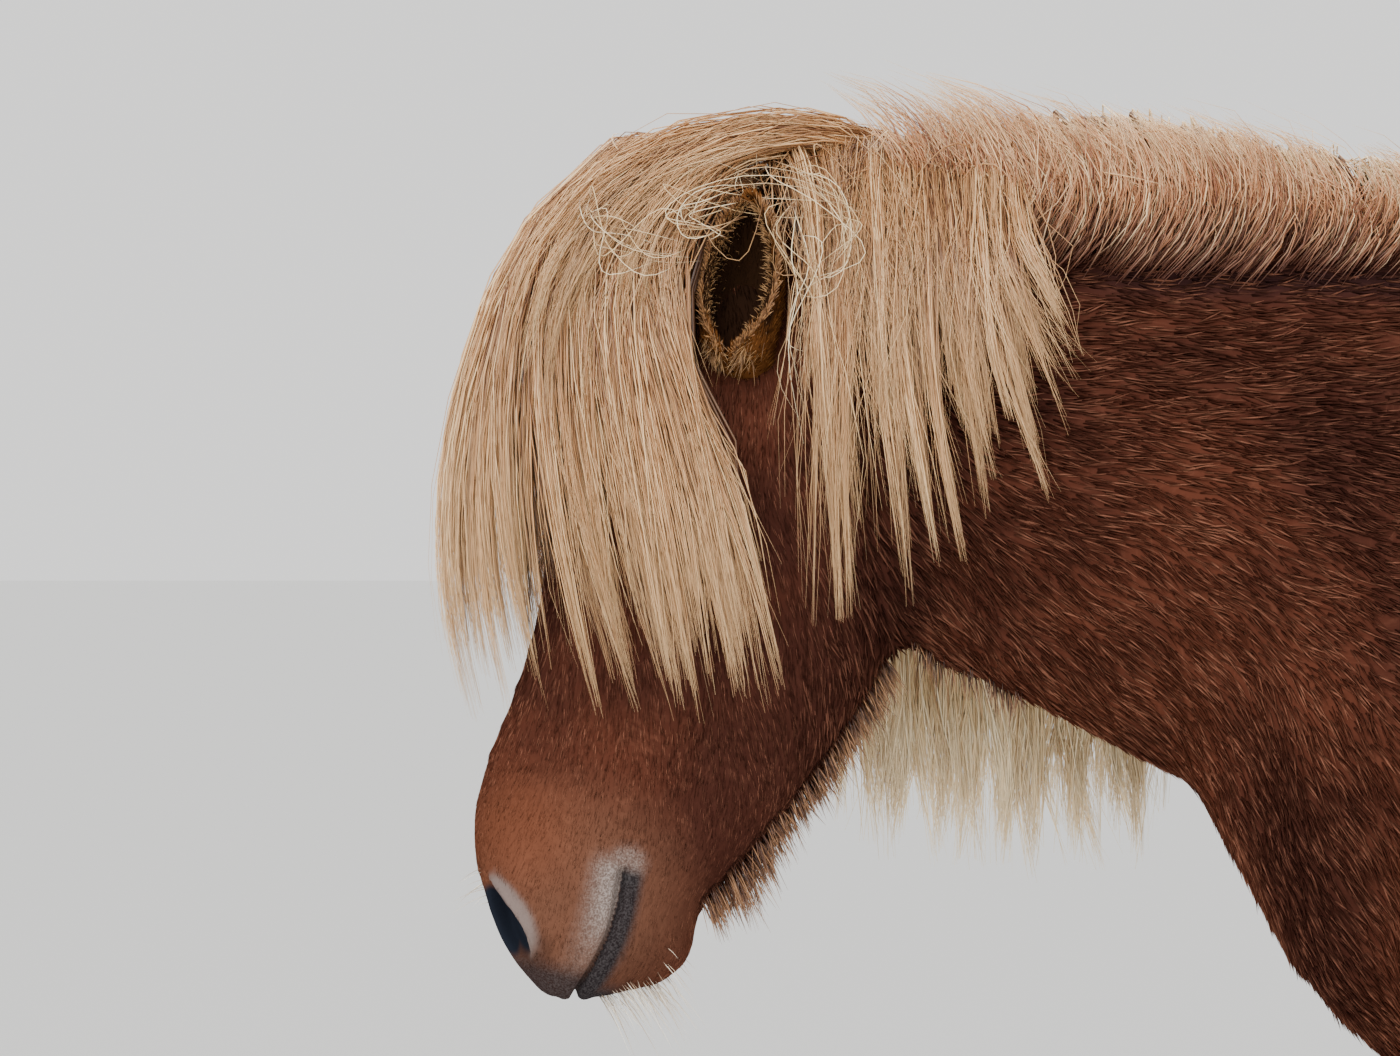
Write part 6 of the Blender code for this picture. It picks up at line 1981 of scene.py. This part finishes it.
horn_material, nodes, surface = new_material("hoof_horn")
place = object_place(nodes)
level_place = node(nodes, "ShaderNodeMapping", Vector=place, Scale=(6.0, 6.0, 230.0))
upright_place = node(nodes, "ShaderNodeMapping", Vector=place, Scale=(300.0, 300.0, 12.0))
rings_of = noise(nodes, level_place.outputs[0], 1.0, 3.0)
lines_of = noise(nodes, upright_place.outputs[0], 1.0, 3.0)
tone = mixed(nodes, ranged(nodes, lines_of, 0.35, 0.7), (0.050, 0.036, 0.027), (0.155, 0.115, 0.080))
tone = mixed(nodes, maths(nodes, "MULTIPLY", rings_of, 0.4), tone, (0.24, 0.185, 0.13))
put(nodes, surface.inputs["Base Color"], tone)
both_heights = maths(nodes, "ADD", rings_of, maths(nodes, "MULTIPLY", lines_of, 0.4))
relief = node(nodes, "ShaderNodeBump", Strength=0.5, Distance=0.002, Height=both_heights)
put(nodes, surface.inputs["Normal"], relief.outputs[0])
surface.inputs["Roughness"].default_value = 0.42
for hoof in hooves.values():
    hoof.data.materials.clear()
    hoof.data.materials.append(horn_material)
print("eye and horn ready")

# %% [markdown]
# ## Camera, floor and light
# The camera stands level with the neck, square to the horse's left side, and frames the head and
# neck as the photo does. Light is soft: a pale surrounding, two wide panels on the camera's side, and
# two behind the horse, where the warmer one gives the mane its bright edge.

# %% Studio
SENSOR_WIDTH = 36
CAMERA_AWAY = 4.8
VIEW_WIDTH = 0.946
bpy.ops.mesh.primitive_plane_add(size=300, location=(0, 0, -0.0005))
floor = bpy.context.object
floor.name = "floor"
floor_material, nodes, surface = new_material("pale_floor")
surface.inputs["Base Color"].default_value = (0.86, 0.86, 0.85, 1)
surface.inputs["Roughness"].default_value = 0.9
floor.data.materials.append(floor_material)


def area_light(name, place, target, size, power, colour=(1, 1, 1)):
    """A square soft light at a place, aimed at a target."""
    lamp = bpy.data.lights.new(name, "AREA")
    lamp.size = size
    lamp.energy = power
    lamp.color = colour
    obj = bpy.data.objects.new(name, lamp)
    obj.location = place
    obj.rotation_euler = (Vector(target) - Vector(place)).to_track_quat("-Z", "Y").to_euler()
    bpy.context.scene.collection.objects.link(obj)


area_light("key", (-2.2, -3.6, 3.6), (-0.5, 0, 1.0), 2.6, 250)
area_light("fill", (3.0, -3.4, 2.2), (0.1, 0, 0.9), 3.0, 110)
area_light("rim", (-1.0, 2.6, 4.0), (-0.6, 0, 1.2), 3.6, 210, (1.0, 0.96, 0.88))
area_light("back", (2.8, 3.0, 2.6), (0.3, 0, 0.9), 3.0, 110)
world = bpy.data.worlds.new("studio")
bpy.context.scene.world = world
world.use_nodes = True
world.node_tree.nodes["Background"].inputs["Color"].default_value = (0.88, 0.875, 0.865, 1)
world.node_tree.nodes["Background"].inputs["Strength"].default_value = 1.45

camera_data = bpy.data.cameras.new("camera")
camera_data.sensor_width = SENSOR_WIDTH
camera_data.lens = SENSOR_WIDTH * CAMERA_AWAY / VIEW_WIDTH
camera = bpy.data.objects.new("camera", camera_data)
camera.location = (-0.857, -CAMERA_AWAY, 1.148)
camera.rotation_euler = (math.pi / 2, 0, 0)
bpy.context.scene.collection.objects.link(camera)
bpy.context.scene.camera = camera
print("camera lens", round(camera_data.lens, 1))

# %% [markdown]
# ## Handing the pieces over
# The horse is one body that stands still. Each piece rides on it, and the solids that the pieces stand
# for are hidden. The skin stands for all the solids that are flesh.

# %% Ride and replace
legs = [name for name in frame["nodes"] if "leg_" in name]
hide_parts("head", "neck", "torso", "ear_left", "ear_right", *legs)
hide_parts("tail")
for name, ball in eyes.items():
    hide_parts(f"eye_{name}")
for name, hoof in hooves.items():
    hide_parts(name)
for slot_name, members in (
    ("coat", [skin, *coat, jaw_hair, feathers]),
    ("mane", [*long_hair.values(), strays, loops, whiskers]),
    ("dark_coat", [ear_fuzz, ear_rim]),
    ("eye", list(eyes.values())),
    ("horn", list(hooves.values())),
):
    for obj in members:
        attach(obj, "root")


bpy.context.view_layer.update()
pieces = [obj for obj in bpy.context.scene.objects if obj.type == "MESH" and not obj.hide_render]
counts = {obj.name: sum(len(p.vertices) - 2 for p in obj.data.polygons) for obj in pieces}
print("triangles in all", sum(counts.values()), "largest", max(counts.values()))
print("triangles by piece", counts)
